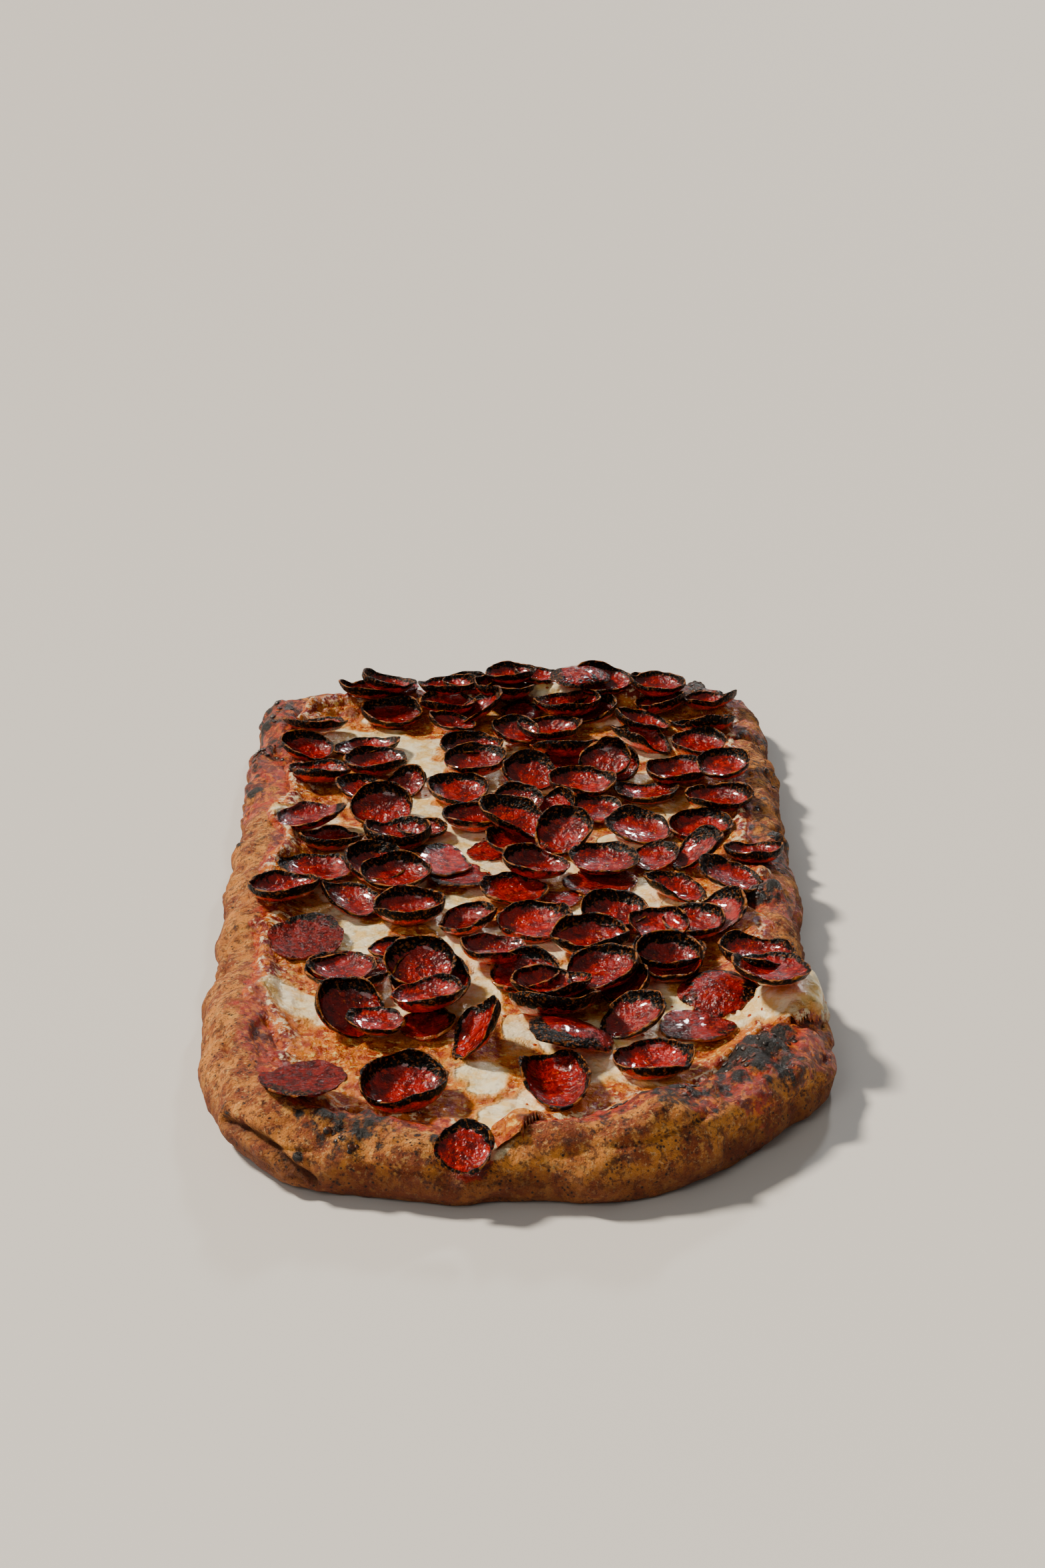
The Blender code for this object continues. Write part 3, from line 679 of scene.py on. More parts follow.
def bend(points, radius, heading):
    """The points after a slice is bent up on both sides of a line with that heading."""
    turn = np.array(Matrix.Rotation(math.radians(heading), 3, "Z"))
    flat = points @ turn
    angle = flat[..., 1] / radius
    inner = radius - flat[..., 2]
    return np.stack([flat[..., 0], inner * np.sin(angle), radius - inner * np.cos(angle)], -1) @ turn.T


def lean_matrix(lean_right, lean_back):
    right, back = math.tan(math.radians(lean_right)), math.tan(math.radians(lean_back))
    normal = Vector((-right, -back, 1)).normalized()
    return np.array(Vector((0, 0, 1)).rotation_difference(normal).to_matrix())


def slice_shape(number, row, stations=SLICE_STATIONS, upper=UPPER_RINGS, lower=LOWER_RINGS):
    """One slice round its own middle: its points, faces and the values that its material reads."""
    _, _, width, kind, lean_right, lean_back, heading, burnt = row
    rng = np.random.default_rng(500 + number)
    wall, lateness, fold = KINDS[kind]
    angle = TAU * np.arange(stations) / stations
    spin = number * SPIN_STEP
    uneven = 1 + LOPSIDED * np.cos(angle - spin) + PINCHED * np.cos(2 * angle + 1.7 * spin)
    crinkle = sum(
        rng.uniform(0.3, 1) * most * np.cos(count * angle + rng.uniform(0, TAU)) for count, most in CRINKLES
    )
    full = wall_profiles(np.array([float(wall)]), lateness, np.array([1.0]))
    raw = width / 2 / full[0][0, 0]

    top = np.concatenate([np.linspace(0.04, 0.8, upper - 5, False), np.linspace(0.8, 0.985, 5)])
    reach = np.concatenate([top, [1.0, 1.0], np.linspace(0.985, 0.05, lower)])
    side = np.concatenate([np.ones(upper), [0.55, -0.55], -np.ones(lower)])
    radius, height = wall_profiles(wall * (uneven + crinkle), lateness, reach)
    frayed = 1 + reach[:, None] ** 4 * crinkle * 0.5
    radius, height = radius * raw * frayed, height * raw
    middle = np.stack([radius * np.cos(angle), radius * np.sin(angle), height], -1)
    if fold:
        middle = bend(middle, fold, heading)
    middle[..., 2] += reach[:, None] ** 2 * 0.5 * lumps(middle + 40 * number, 7, 21)
    along = np.roll(middle, -1, 1) - np.roll(middle, 1, 1)
    inner = np.roll(middle, 1, 0)
    inner[0] = middle[0] - (middle[1] - middle[0])
    step = np.where(np.arange(len(reach))[:, None, None] <= upper, middle - inner, inner - middle)
    step[upper + 1] = step[upper]
    normal = np.cross(step, along)
    normal /= np.maximum(np.linalg.norm(normal, axis=-1, keepdims=True), 1e-9)
    thick = SLICE_THICKNESS + (RIM_THICKNESS - SLICE_THICKNESS) * reach ** 3
    points = middle + normal * (side * thick / 2)[:, None, None]
    grain = lumps(points + 40 * number, 3.4, 31) * 0.22 + lumps(points + 40 * number, 1.8, 32) * 0.1
    grain = grain * (1 + 1.2 * smooth(0.75, 0.95, reach))[:, None]
    points += normal * (np.sign(side)[:, None] * grain)[..., None]
    points = points @ lean_matrix(lean_right, lean_back).T
    low, high = points.reshape(-1, 3).min(0), points.reshape(-1, 3).max(0)
    points -= ((low[0] + high[0]) / 2, (low[1] + high[1]) / 2, low[2])
    tall = points[..., 2].max()
    raised = smooth(0.36, 0.88, points[..., 2] / tall) * smooth(1.5, 6, tall)
    share = np.broadcast_to(reach[:, None], raised.shape)
    dull = max(1 - 4 * burnt, 0) if kind in ("flat", "dome") else 0
    values = {
        "share": share,
        "upper": np.broadcast_to((side > 0)[:, None], raised.shape),
        "raised": raised,
        "char": burnt + 0 * share,
        "dull": dull + 0 * share,
        "tone": rng.uniform() + 0 * share,
    }
    return points, closed_band(points), values


def place_on_node(points, node):
    """Moves a slice so that its box is centred on its node's, and its underside is a little lower."""
    low, high = (np.array(corner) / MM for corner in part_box(node))
    mine = points.reshape(-1, 3)
    shift = (low + high) / 2 - (mine.min(0) + mine.max(0)) / 2
    shift[2] = low[2] - mine[:, 2].min() - SINK
    return points + shift


def ground_height(beds, points, spot):
    """How high the shape has to stand over a spot to touch the beds and no more."""
    low = np.inf
    for point in points.reshape(-1, 3)[::SEATING_POINTS]:
        for bed in beds:
            hit = bed.ray_cast((point[0] + spot[0], point[1] + spot[1], OVERHEAD), (0, 0, -1))[0]
            if hit:
                low = min(low, point[2] - hit[2])
    return float(RIM_HEIGHT) if low == np.inf else max(-low, FLOOR)


def seat_tucked(number, row, beds, others):
    """Finds the lowest free place near where a tucked slice was seen, from the bed upwards."""
    coarse, faces, _ = slice_shape(number, row, *COARSE_SLICE)
    coarse_flat = coarse.reshape(-1, 3)
    half_height = coarse_flat[:, 2].max() / 2
    seen = np.array(row[:2]) + SEEN_TO_ORIGIN
    level = RIM_HEIGHT + half_height
    for _ in range(3):
        spot = EYE[:2] + (seen - EYE[:2]) * (EYE[2] - level) / (EYE[2] - SEEN_LEVEL)
        spot[1] = min(spot[1], LENGTH / 2 - BACK_MARGIN)
        ground = ground_height(beds, coarse, spot)
        level = ground + half_height
    best, reach = None, row[2] * SLICE_REACH
    for nudge in (0, *NUDGES):
        for way in range(NUDGE_WAYS if nudge else 1):
            turn = TAU * way / NUDGE_WAYS
            place = spot + nudge * np.array((math.cos(turn), math.sin(turn)))
            near = [tree for centre, size, tree in others if np.hypot(*(centre - place)) < size + reach]
            for lift in np.arange(0, SEATING_REACH, SEATING_STEP):
                tree = tree_of(coarse_flat + (*place, ground + lift), faces)
                crossed = sum(len(tree.overlap(other)) for other in near)
                cost = lift + nudge * NUDGE_COST + crossed * CROSSING_COST
                if best is None or cost < best[0]:
                    best = (cost, np.array((*place, ground + lift - SINK)))
                if crossed == 0:
                    break
        if best[0] < 2 * SEATING_STEP:
            break
    return best[1]


def joined(shapes):
    """Several shapes as one: points, faces and values."""
    points, faces, values, start = [], [], {}, 0
    for shape_points, shape_faces, shape_values in shapes:
        flat = shape_points.reshape(-1, 3)
        points.append(flat)
        faces += [[start + corner for corner in face] for face in shape_faces]
        for key, numbers in shape_values.items():
            values.setdefault(key, []).append(np.asarray(numbers, float).ravel())
        start += len(flat)
    return np.concatenate(points), faces, {key: np.concatenate(parts) for key, parts in values.items()}


# The cheese

def inset_map(points):
    """How far points, seen from above, lie inside the outline, along the lines that the section follows."""
    edge = outline(1200)
    result = np.zeros(len(points))
    side = np.abs(points[:, 1]) <= MEDIAL_HALF
    for sign in (-1, 1):
        chosen = (edge[:, 0] * sign > 0) & (np.abs(edge[:, 1]) < MEDIAL_HALF + 5)
        order = np.argsort(edge[chosen][:, 1])
        y, x = edge[chosen][order][:, 1], np.abs(edge[chosen][order][:, 0])
        pick = side & (np.sign(points[:, 0]) == sign)
        result[pick] = np.interp(points[pick][:, 1], y, x) - np.abs(points[pick][:, 0])
        ends = edge[edge[:, 1] * sign > MEDIAL_HALF] * (1, sign) - (0, MEDIAL_HALF)
        angles = np.arctan2(ends[:, 1], ends[:, 0])
        order = np.argsort(angles)
        pick = points[:, 1] * sign > MEDIAL_HALF
        mine = points[pick] * (1, sign) - (0, MEDIAL_HALF)
        heading = np.arctan2(mine[:, 1], mine[:, 0])
        radius = np.interp(heading, angles[order], np.linalg.norm(ends, axis=1)[order])
        result[pick] = radius - np.linalg.norm(mine, axis=1)
    result[side & (points[:, 0] == 0)] = FRONT_WIDTH / 2
    return result


def cheese_grid():
    """The grid's x and y, its counts across and along, and how far in from the outline each point is."""
    across = np.arange(-CHEESE_SPAN[0], CHEESE_SPAN[0] + 0.1, CHEESE_CELL)
    along = np.arange(-CHEESE_SPAN[1], CHEESE_SPAN[1] + 0.1, CHEESE_CELL)
    x, y = np.meshgrid(across, along)
    flat = np.stack([x.ravel(), y.ravel()], 1)
    return flat, len(across), len(along), inset_map(flat)


def cheese_heights(flat, inset, ground):
    """The height of the cheese's top at the grid's points, how pooled, baked and browned it is there, and
    how far from its edge."""
    rng = np.random.default_rng(5)
    points = np.concatenate([flat, np.zeros((len(flat), 1))], 1)
    strayed = 5 * lumps(points, 16, 51) + 3 * lumps(points, 7, 52)
    pool = np.zeros(len(points))
    for line, half_width in STREAMS:
        away = line_distance(points, line) / STREAM_SPREAD + strayed
        pool = np.maximum(pool, 1 - smooth(half_width - STREAM_FADE / 2, half_width + STREAM_FADE / 2, away))
    middle = smooth(38, 72, inset + 12 * lumps(points, 26, 56)) * smooth(-0.15, 0.3, lumps(points, 17, 55))
    pool = np.maximum(pool, 0.9 * middle * smooth(-190, -150, points[:, 1]))
    start = CHEESE_START - SIDE_REACH * smooth(-190, -120, points[:, 1])
    start = start + 5 * lumps(points, 24, 41) + 3 * lumps(points, 9, 42) - 6 * pool
    start = start + BURNT_GAP * spots(points, BURNT)
    for line, half_width in RUNS:
        away = line_distance(points, line) + 0.4 * strayed
        start = start - 40 * (1 - smooth(half_width * 0.6, half_width * 1.8, away))
    inside = smooth(start - 1, start + 9, inset)
    over_rim = smooth(RUN_STOPS - 5, RUN_STOPS, ground)
    inside = inside * np.maximum(over_rim, smooth(CREST_INSET, CREST_INSET + 6, inset))
    thickness = -EDGE_DEPTH + (CHEESE_THICKNESS + EDGE_DEPTH) * inside
    bake = 1 - smooth(start + 4, start + 26, inset + 8 * lumps(points, 13, 43))
    bake = bake * (1 - 0.85 * pool)
    rough = layered(points, CHEESE_LUMPS, 44) * (1 - 0.55 * pool) * (0.7 + 0.9 * bake)
    bubbles = []
    for _ in range(BUBBLES):
        pick = rng.integers(len(flat))
        radius = rng.uniform(*BUBBLE_RADII)
        bubbles.append((points[pick], radius, radius * rng.uniform(0.12, 0.3), rng.uniform(0, 1)))
    dome, brown = raised_domes(points, bubbles)
    height = ground + thickness + (rough + dome * (1 - 0.7 * pool) + 0.5 * pool) * inside
    return height, pool, bake, brown * inside * (1 - 0.8 * pool), inside


def cheese_shape(flat, across, along, height, inside, values):
    """The cheese's top as points and faces, without the parts of the grid that have none. Its edges are in
    the dough, so it needs no underside."""
    keep = (inside > LEAST_CHEESE).reshape(along, across)
    cells = keep[:-1, :-1] & keep[1:, :-1] & keep[:-1, 1:] & keep[1:, 1:]
    rows, columns = np.nonzero(cells)
    first = rows * across + columns
    faces = np.stack([first, first + 1, first + across + 1, first + across], 1)
    used, compact = np.unique(faces, return_inverse=True)
    points = np.concatenate([flat[used], height[used][:, None]], 1)
    return points, compact.reshape(-1, 4), {key: numbers[used] for key, numbers in values.items()}


# Materials

def srgb(code):
    """A hex colour as linear red, green, blue and alpha."""
    parts = [int(code[i:i + 2], 16) / 255 for i in (1, 3, 5)]
    return (*[part / 12.92 if part <= 0.04045 else ((part + 0.055) / 1.055) ** 2.4 for part in parts], 1)


def feed(tree, socket, value):
    """Gives an input its value: a number, a hex colour, the name of an attribute to read, or a socket."""
    if isinstance(value, str) and value.startswith("#"):
        value = srgb(value)
    elif isinstance(value, str):
        value = add(tree, "ShaderNodeAttribute", attribute_name=value).outputs["Fac"]
    if isinstance(value, bpy.types.NodeSocket):
        tree.links.new(value, socket)
    else:
        socket.default_value = value


def add(tree, kind, inputs=None, **settings):
    """Adds a node, with what feeds each of its inputs and the settings of its properties."""
    node = tree.nodes.new(kind)
    for name, value in settings.items():
        setattr(node, name, value)
    for key, value in (inputs or {}).items():
        feed(tree, node.inputs[key], value)
    return node


class Finish:
    """A material under construction. Its patterns are drawn in real sizes on the piece, and each gives a
    share from 0 to 1 or a number that varies over the surface."""

    def __init__(self, name):
        self.material = bpy.data.materials.new(name)
        self.material.use_nodes = True
        self.tree = self.material.node_tree
        self.shader = self.tree.nodes["Principled BSDF"]
        self.place = add(self.tree, "ShaderNodeTexCoord").outputs["Object"]

    def wander(self, size, detail, rough, low, high):
        """A number that wanders from low to high, over lumps about that many millimetres across."""
        lumpy = add(self.tree, "ShaderNodeTexNoise", {
            "Vector": self.place, "Scale": 1 / (size * MM), "Detail": detail, "Roughness": rough,
        }).outputs["Fac"]
        return add(self.tree, "ShaderNodeMapRange", {
            "Value": lumpy, "To Min": low, "To Max": high,
        }).outputs["Result"]

    def where(self, value, low, high, fray=None):
        """0 where the value is at low and 1 where it is at high. A pattern may fray the border."""
        if fray:
            value = add(self.tree, "ShaderNodeMath", {0: value, 1: fray}, operation="ADD").outputs[0]
        return add(self.tree, "ShaderNodeMapRange", {
            "Value": value, "From Min": low, "From Max": high,
        }, interpolation_type="SMOOTHSTEP").outputs["Result"]

    def patches(self, size, detail, rough, low, high):
        """Ragged patches about that many millimetres across, fewer the higher low and high are."""
        return self.where(self.wander(size, detail, rough, 0.0, 1.0), low, high)

    def specks(self, spacing, low, high):
        """Round specks, about that many millimetres apart."""
        away = add(self.tree, "ShaderNodeTexVoronoi", {"Vector": self.place, "Scale": 1 / (spacing * MM)})
        return self.where(away.outputs["Distance"], low, high)

    def together(self, *shares):
        """The product of some shares."""
        product = shares[0]
        for share in shares[1:]:
            both = {0: product, 1: share}
            product = add(self.tree, "ShaderNodeMath", both, operation="MULTIPLY").outputs[0]
        return product

    def strongest(self, *shares):
        """The largest of some shares."""
        largest = shares[0]
        for share in shares[1:]:
            both = {0: largest, 1: share}
            largest = add(self.tree, "ShaderNodeMath", both, operation="MAXIMUM").outputs[0]
        return largest

    def over(self, base, top, *shares):
        """The top over the base, as far as the product of the shares says. Both are colours, or numbers."""
        share = self.together(*shares)
        if isinstance(top, str) or getattr(top, "type", None) == "RGBA":
            return add(self.tree, "ShaderNodeMix", {0: share, 6: base, 7: top}, data_type="RGBA").outputs[2]
        return add(self.tree, "ShaderNodeMix", {0: share, 2: base, 3: top}, data_type="FLOAT").outputs[0]

    def bumps(self, *layers):
        """Relief. Each layer has the size of its lumps in millimetres, its detail and roughness, its depth
        in millimetres, and the shares that weaken it."""
        normal = None
        for size, detail, rough, depth, *shares in layers:
            height = self.together(self.wander(size, detail, rough, 0.0, 1.0), *shares)
            inputs = {"Height": height, "Distance": depth * MM, "Strength": 1.0}
            if normal:
                inputs["Normal"] = normal
            normal = add(self.tree, "ShaderNodeBump", inputs).outputs["Normal"]
        self.set(Normal=normal)

    def set(self, **sockets):
        """Feeds the shader's inputs. An underscore in a name stands for a space."""
        for name, value in sockets.items():
            feed(self.tree, self.shader.inputs[name.replace("_", " ")], value)


def baked_crust():
    """Bread crust, baked on a hot stone: dry and matt, golden brown, mottled, with dark specks and black
    blisters. Where sauce and oil have soaked it, it is red-orange and shines."""
    f = Finish("baked bread crust")
    bread = f.over("#e08c32", "#94410e", f.patches(11, 5, 0.62, 0.4, 0.6))
    bread = f.over(bread, "#f2ac50", f.patches(5, 4, 0.65, 0.54, 0.66), 0.7)
    bread = f.over(bread, "#4a1f09", f.patches(3, 5, 0.72, 0.5, 0.6), 0.75)
    bread = f.over(bread, "#e6b878", f.patches(1.6, 4, 0.65, 0.55, 0.66), 0.6)
    # Darker brown towards the bottom of the rim
    bread = f.over(bread, "#71300a", f.where("high", 0.7, 0.0), 0.75)
    # Painted shade: dark brown in the fold's crease
    bread = f.over(bread, "#4a1c08", "crease", 0.85)
    specks = f.together(f.specks(2.4, 0.28, 0.16), f.patches(16, 3, 0.55, 0.4, 0.56))
    bread = f.over(bread, "#1f120a", specks, 0.9)
    bread = f.over(bread, "#2a1408", f.specks(1.0, 0.3, 0.15), f.patches(9, 3, 0.55, 0.48, 0.6), 0.8)

    ragged = f.wander(7, 5, 0.68, -0.95, 0.95)
    soaked = f.where("soaked", 0.35, 0.6, ragged)
    sauce = f.over("#c22800", "#6e0800", f.patches(8, 4, 0.6, 0.42, 0.6))
    sauce = f.over(sauce, "#e87810", f.patches(2.8, 4, 0.6, 0.52, 0.6))
    sauce = f.over(sauce, "#1c0c08", specks, 0.8)
    colour = f.over(bread, sauce, soaked, 0.92)

    cheese = f.over("#efdcae", "#d08a34", f.patches(5, 3, 0.55, 0.42, 0.62))
    colour = f.over(colour, cheese, f.where("run", 0.35, 0.6, f.together(ragged, 0.25)))

    burnt = f.together("burnt", 0.9)
    scorch = f.wander(6, 6, 0.7, -1.45, 1.45)
    colour = f.over(colour, "#3a1a0b", f.where(burnt, 0.35, 0.7, scorch), 0.75)
    black = f.where(burnt, 0.68, 0.8, scorch)
    colour = f.over(colour, "#0d0a09", black)

    roughness = f.over(f.wander(1.6, 4, 0.65, 0.7, 0.9), 0.36, f.strongest(soaked, "run"))
    f.bumps((9, 4, 0.6, 3.0), (3.4, 5, 0.7, 3.2), (1.2, 4, 0.65, 0.9))
    f.set(Base_Color=colour, Roughness=f.over(roughness, 0.42, black))
    f.set(Subsurface_Weight=0.05, Subsurface_Radius=(1.0, 0.5, 0.25), Subsurface_Scale=1.5 * MM)
    return f.material


def melted_cheese():
    """Melted mozzarella: smooth and wet with oil, cream where it has pooled, orange where the slices' oil
    has run, and browned where it is thin or has bubbled."""
    f = Finish("melted mozzarella")
    flecks = f.wander(7, 5, 0.66, -1.0, 1.0)
    small_flecks = f.together(flecks, 0.6)
    border = f.together(flecks, 0.55)
    stained = f.over("#dc7c0a", "#a03404", f.patches(5, 4, 0.6, 0.4, 0.6))
    stained = f.over(stained, "#f8cc66", f.patches(3, 4, 0.62, 0.55, 0.64))
    cream = f.over("#fbeec4", "#eec878", f.patches(9, 4, 0.6, 0.42, 0.62))
    white = f.where("pool", 0.3, 0.75, border)
    colour = f.over(stained, "#e8a040", f.where("pool", 0.1, 0.35, border))
    colour = f.over(colour, cream, white)

    baked = f.over("#d87410", "#841804", f.patches(7, 5, 0.65, 0.45, 0.56))
    baked = f.over(baked, "#fbe2b0", f.patches(4, 5, 0.65, 0.51, 0.59))
    baked = f.over(baked, "#5a2008", f.patches(5, 5, 0.7, 0.6, 0.68), 0.8)
    colour = f.over(colour, baked, f.where("bake", 0.35, 0.7, small_flecks))
    sauce = f.over("#9c1c03", "#d8640a", f.patches(2.4, 4, 0.6, 0.45, 0.6))
    colour = f.over(colour, sauce, f.where("thin", 0.55, 0.85, flecks), 0.85)
    colour = f.over(colour, "#7c3410", f.where("brown", 0.55, 0.95, small_flecks), 0.8)
    colour = f.over(colour, "#1c0c07", f.where("brown", 1.1, 1.35, flecks))

    f.bumps((8, 3, 0.55, 2.5), (3.4, 5, 0.62, 3.2, f.over(1.0, 0.25, white)), (1.1, 3, 0.55, 0.15))
    f.set(Base_Color=colour, Roughness=f.wander(2.4, 4, 0.6, 0.15, 0.35), IOR=1.45)
    f.set(Subsurface_Weight=0.1, Subsurface_Radius=(1.0, 0.5, 0.25), Subsurface_Scale=2.5 * MM)
    return f.material


def fried_pepperoni():
    """Cured sausage fried in its own oil: deep red, glassy and bumpy, with orange flecks of fat, a crisp
    golden edge, and black crumbly char on the walls that stood nearest to the fire."""
    f = Finish("fried pepperoni")
    meat = f.over("#5e0200", "#a60a00", f.patches(6, 4, 0.6, 0.38, 0.62))
    # Painted highlights: brighter red-orange patches on the meat
    meat = f.over(meat, "#dc2a04", f.patches(2.4, 4, 0.6, 0.54, 0.64), 0.6)
    meat = f.over(meat, "#4c0402", "tone", 0.4)
    # The undersides' own brighter red, with a painted glow of light shining through the thin walls
    underside_and_glow = f.over("#ec1e00", "#a00e00", f.patches(3.4, 4, 0.6, 0.38, 0.62))
    meat = f.over(underside_and_glow, meat, "upper")
    meat = f.over(meat, "#e0701c", f.specks(1.8, 0.32, 0.16), f.patches(5, 3, 0.55, 0.54, 0.64), 0.6)
    matt = f.over("#260506", "#661812", f.patches(3, 5, 0.65, 0.42, 0.58))
    meat = f.over(meat, matt, "dull", 0.8)

    ragged = f.wander(4.5, 6, 0.68, -0.5, 0.5)
    wall = f.where("share", 0.52, 0.8, f.together(ragged, 0.7))
    tall = add(f.tree, "ShaderNodeMath", {0: "raised", 1: 0.12}, operation="ADD").outputs[0]
    heat = f.together(tall, f.over(0.5, 2.1, "char"))
    heat = add(f.tree, "ShaderNodeMath", {0: heat, 1: f.together(ragged, 1.5)}, operation="ADD").outputs[0]
    heat = f.together(heat, wall, f.over(0.55, 1.0, "upper"))
    rim = f.where("share", 0.85, 0.9, f.together(ragged, 0.3))
    rim = f.together(rim, f.where("char", 0.15, 0.4, f.together(ragged, 2.4)))
    black = f.strongest(f.where(heat, 0.46, 0.54), rim)
    crumbs = f.over("#020202", "#74401a", f.patches(1.5, 4, 0.6, 0.54, 0.62))
    colour = f.over(meat, "#240302", f.where(heat, 0.32, 0.52), 0.9)
    colour = f.over(colour, crumbs, black)
    crisp = f.where("share", 0.985, 0.998)
    colour = f.over(colour, "#a5601f", crisp, f.patches(5, 3, 0.55, 0.44, 0.58), 0.8)

    oily = f.over(0.1, 0.22, f.patches(3.2, 3, 0.55, 0.4, 0.65))
    roughness = f.over(oily, f.wander(2.6, 2, 0.55, 0.26, 0.42), "dull")
    f.bumps((4.2, 3, 0.5, 0.9), (2.1, 3, 0.5, 1.1))
    f.set(Base_Color=colour, Roughness=f.over(roughness, 0.45, black), IOR=1.45)
    f.set(Specular_IOR_Level=f.over(0.32, 0.15, f.strongest(black, "dull")))
    f.set(Coat_Weight=f.over(f.over(0.8, 0.15, "dull"), 0.0, black), Coat_Roughness=0.07, Coat_IOR=1.4)
    f.set(Subsurface_Weight=0.08, Subsurface_Radius=(1.0, 0.12, 0.05), Subsurface_Scale=2 * MM)
    return f.material


def charred_bubble():
    """Burnt bubbles of dough and sauce: black, brittle and slightly shiny, brown on their flanks."""
    f = Finish("charred bubbles")
    f.bumps((1.2, 3, 0.55, 0.3))
    f.set(Base_Color=f.over("#120d0b", "#5a2b14", f.patches(2.4, 3, 0.55, 0.45, 0.66)), Roughness=0.42)
    return f.material


def orange_oil():
    """Beads of oil sweated out of the sausage: clear orange, wet, and as smooth as glass."""
    f = Finish("paprika oil")
    f.set(Base_Color="#d4571a", Roughness=0.08, IOR=1.47, Transmission_Weight=0.55)
    return f.material


# What is scattered over a surface

def scatter_tree():
    """Geometry nodes that set uneven round grains on a surface, thick where an attribute is high."""
    tree = bpy.data.node_groups.new("scattered grains", "GeometryNodeTree")
    face = tree.interface
    face.new_socket("Geometry", in_out="INPUT", socket_type="NodeSocketGeometry")
    for name, kind in (
        ("Spacing", "NodeSocketFloat"), ("Density", "NodeSocketFloat"), ("Smallest", "NodeSocketFloat"),
        ("Largest", "NodeSocketFloat"), ("Flatness", "NodeSocketFloat"), ("Rise", "NodeSocketFloat"),
        ("Seed", "NodeSocketInt"), ("Where", "NodeSocketString"), ("Finish", "NodeSocketMaterial"),
    ):
        face.new_socket(name, in_out="INPUT", socket_type=kind)
    face.new_socket("Geometry", in_out="OUTPUT", socket_type="NodeSocketGeometry")
    given = add(tree, "NodeGroupInput").outputs
    where = add(tree, "GeometryNodeInputNamedAttribute", {"Name": given["Where"]}, data_type="FLOAT")
    points = add(tree, "GeometryNodeDistributePointsOnFaces", {
        "Mesh": given["Geometry"], "Distance Min": given["Spacing"], "Density Max": given["Density"],
        "Density Factor": where.outputs["Attribute"], "Seed": given["Seed"],
    }, distribute_method="POISSON")
    size = add(tree, "FunctionNodeRandomValue", {
        2: given["Smallest"], 3: given["Largest"], "Seed": given["Seed"],
    }, data_type="FLOAT").outputs[1]
    flat = add(tree, "ShaderNodeMath", {0: size, 1: given["Flatness"]}, operation="MULTIPLY").outputs[0]
    scale = add(tree, "ShaderNodeCombineXYZ", {"X": size, "Y": size, "Z": flat}).outputs[0]
    grain = add(tree, "GeometryNodeMeshIcoSphere", {"Radius": 1.0, "Subdivisions": 2}).outputs["Mesh"]
    wobble = add(tree, "ShaderNodeTexNoise", {"Scale": 1.4}).outputs["Color"]
    shift = add(tree, "ShaderNodeVectorMath", {0: wobble, 1: (0.5, 0.5, 0.5)}, operation="SUBTRACT")
    uneven = add(tree, "GeometryNodeSetPosition", {"Geometry": grain, "Offset": shift.outputs[0]})
    set_on = add(tree, "GeometryNodeInstanceOnPoints", {
        "Points": points.outputs["Points"], "Rotation": points.outputs["Rotation"],
        "Instance": uneven.outputs["Geometry"], "Scale": scale,
    })
    up = add(tree, "ShaderNodeMath", {0: flat, 1: given["Rise"]}, operation="MULTIPLY").outputs[0]
    offset = add(tree, "ShaderNodeCombineXYZ", {"Z": up}).outputs[0]
    lifted = add(tree, "GeometryNodeTranslateInstances", {
        "Instances": set_on.outputs["Instances"], "Translation": offset,
    }).outputs["Instances"]
    real = add(tree, "GeometryNodeRealizeInstances", {"Geometry": lifted}).outputs["Geometry"]
    smoothed = add(tree, "GeometryNodeSetShadeSmooth", {"Geometry": real}).outputs["Geometry"]
    done = add(tree, "GeometryNodeSetMaterial", {"Geometry": smoothed, "Material": given["Finish"]})
    add(tree, "NodeGroupOutput", {"Geometry": done.outputs["Geometry"]})
    return tree


def scattered(name, tree, surface, settings):
    """A plain mesh of the grains that the tree sets on a surface."""
    carrier = bpy.data.objects.new(name + "_carrier", surface.data.copy())
    bpy.context.scene.collection.objects.link(carrier)
    modifier = carrier.modifiers.new("grains", "NODES")
    modifier.node_group = tree
    for item in tree.interface.items_tree:
        if item.in_out == "INPUT" and item.name in settings:
            modifier[item.identifier] = settings[item.name]
    bpy.context.view_layer.update()
    mesh = bpy.data.meshes.new_from_object(carrier.evaluated_get(bpy.context.evaluated_depsgraph_get()))
    mesh.name = name
    bpy.data.objects.remove(carrier)
    unused = mesh.attributes.get("UVMap")
    if unused:
        mesh.attributes.remove(unused)
    piece = bpy.data.objects.new(name, mesh)
    bpy.context.scene.collection.objects.link(piece)
    return piece


# The pizza

def node_name(number):
    return f"pepperoni_{number + 1:02d}"


def footprint(points):
    """The middle of a slice, seen from above, and its mean radius."""
    flat = points.reshape(-1, 3)[:, :2]
    return (flat.min(0) + flat.max(0)) / 2, np.ptp(flat, axis=0).mean() / 2


def lay_slices(beds):
    """The slices of the solids in their places, and the tucked ones on the beds between them."""
    shown, tucked, placed = [], [], []
    for number, row in enumerate(SLICES):
        points, faces, values = slice_shape(number, row)
        points = place_on_node(points, node_name(number))
        shown.append((points, faces, values))
        placed.append((footprint(points)[0], row[2] * SLICE_REACH, tree_of(points.reshape(-1, 3), faces)))
    for number, row in enumerate(TUCKED_SLICES, len(SLICES)):
        spot = seat_tucked(number, row, beds, placed)
        points, faces, values = slice_shape(number, row)
        points = points + spot
        tucked.append((points, faces, values))
        placed.append((spot[:2], row[2] * SLICE_REACH, tree_of(points.reshape(-1, 3), faces)))
    return shown, tucked


def slices_piece(name, slices, material):
    """One piece that holds many slices."""
    points, faces, values = joined(slices)
    return mesh_piece(name, points, faces, material, values)


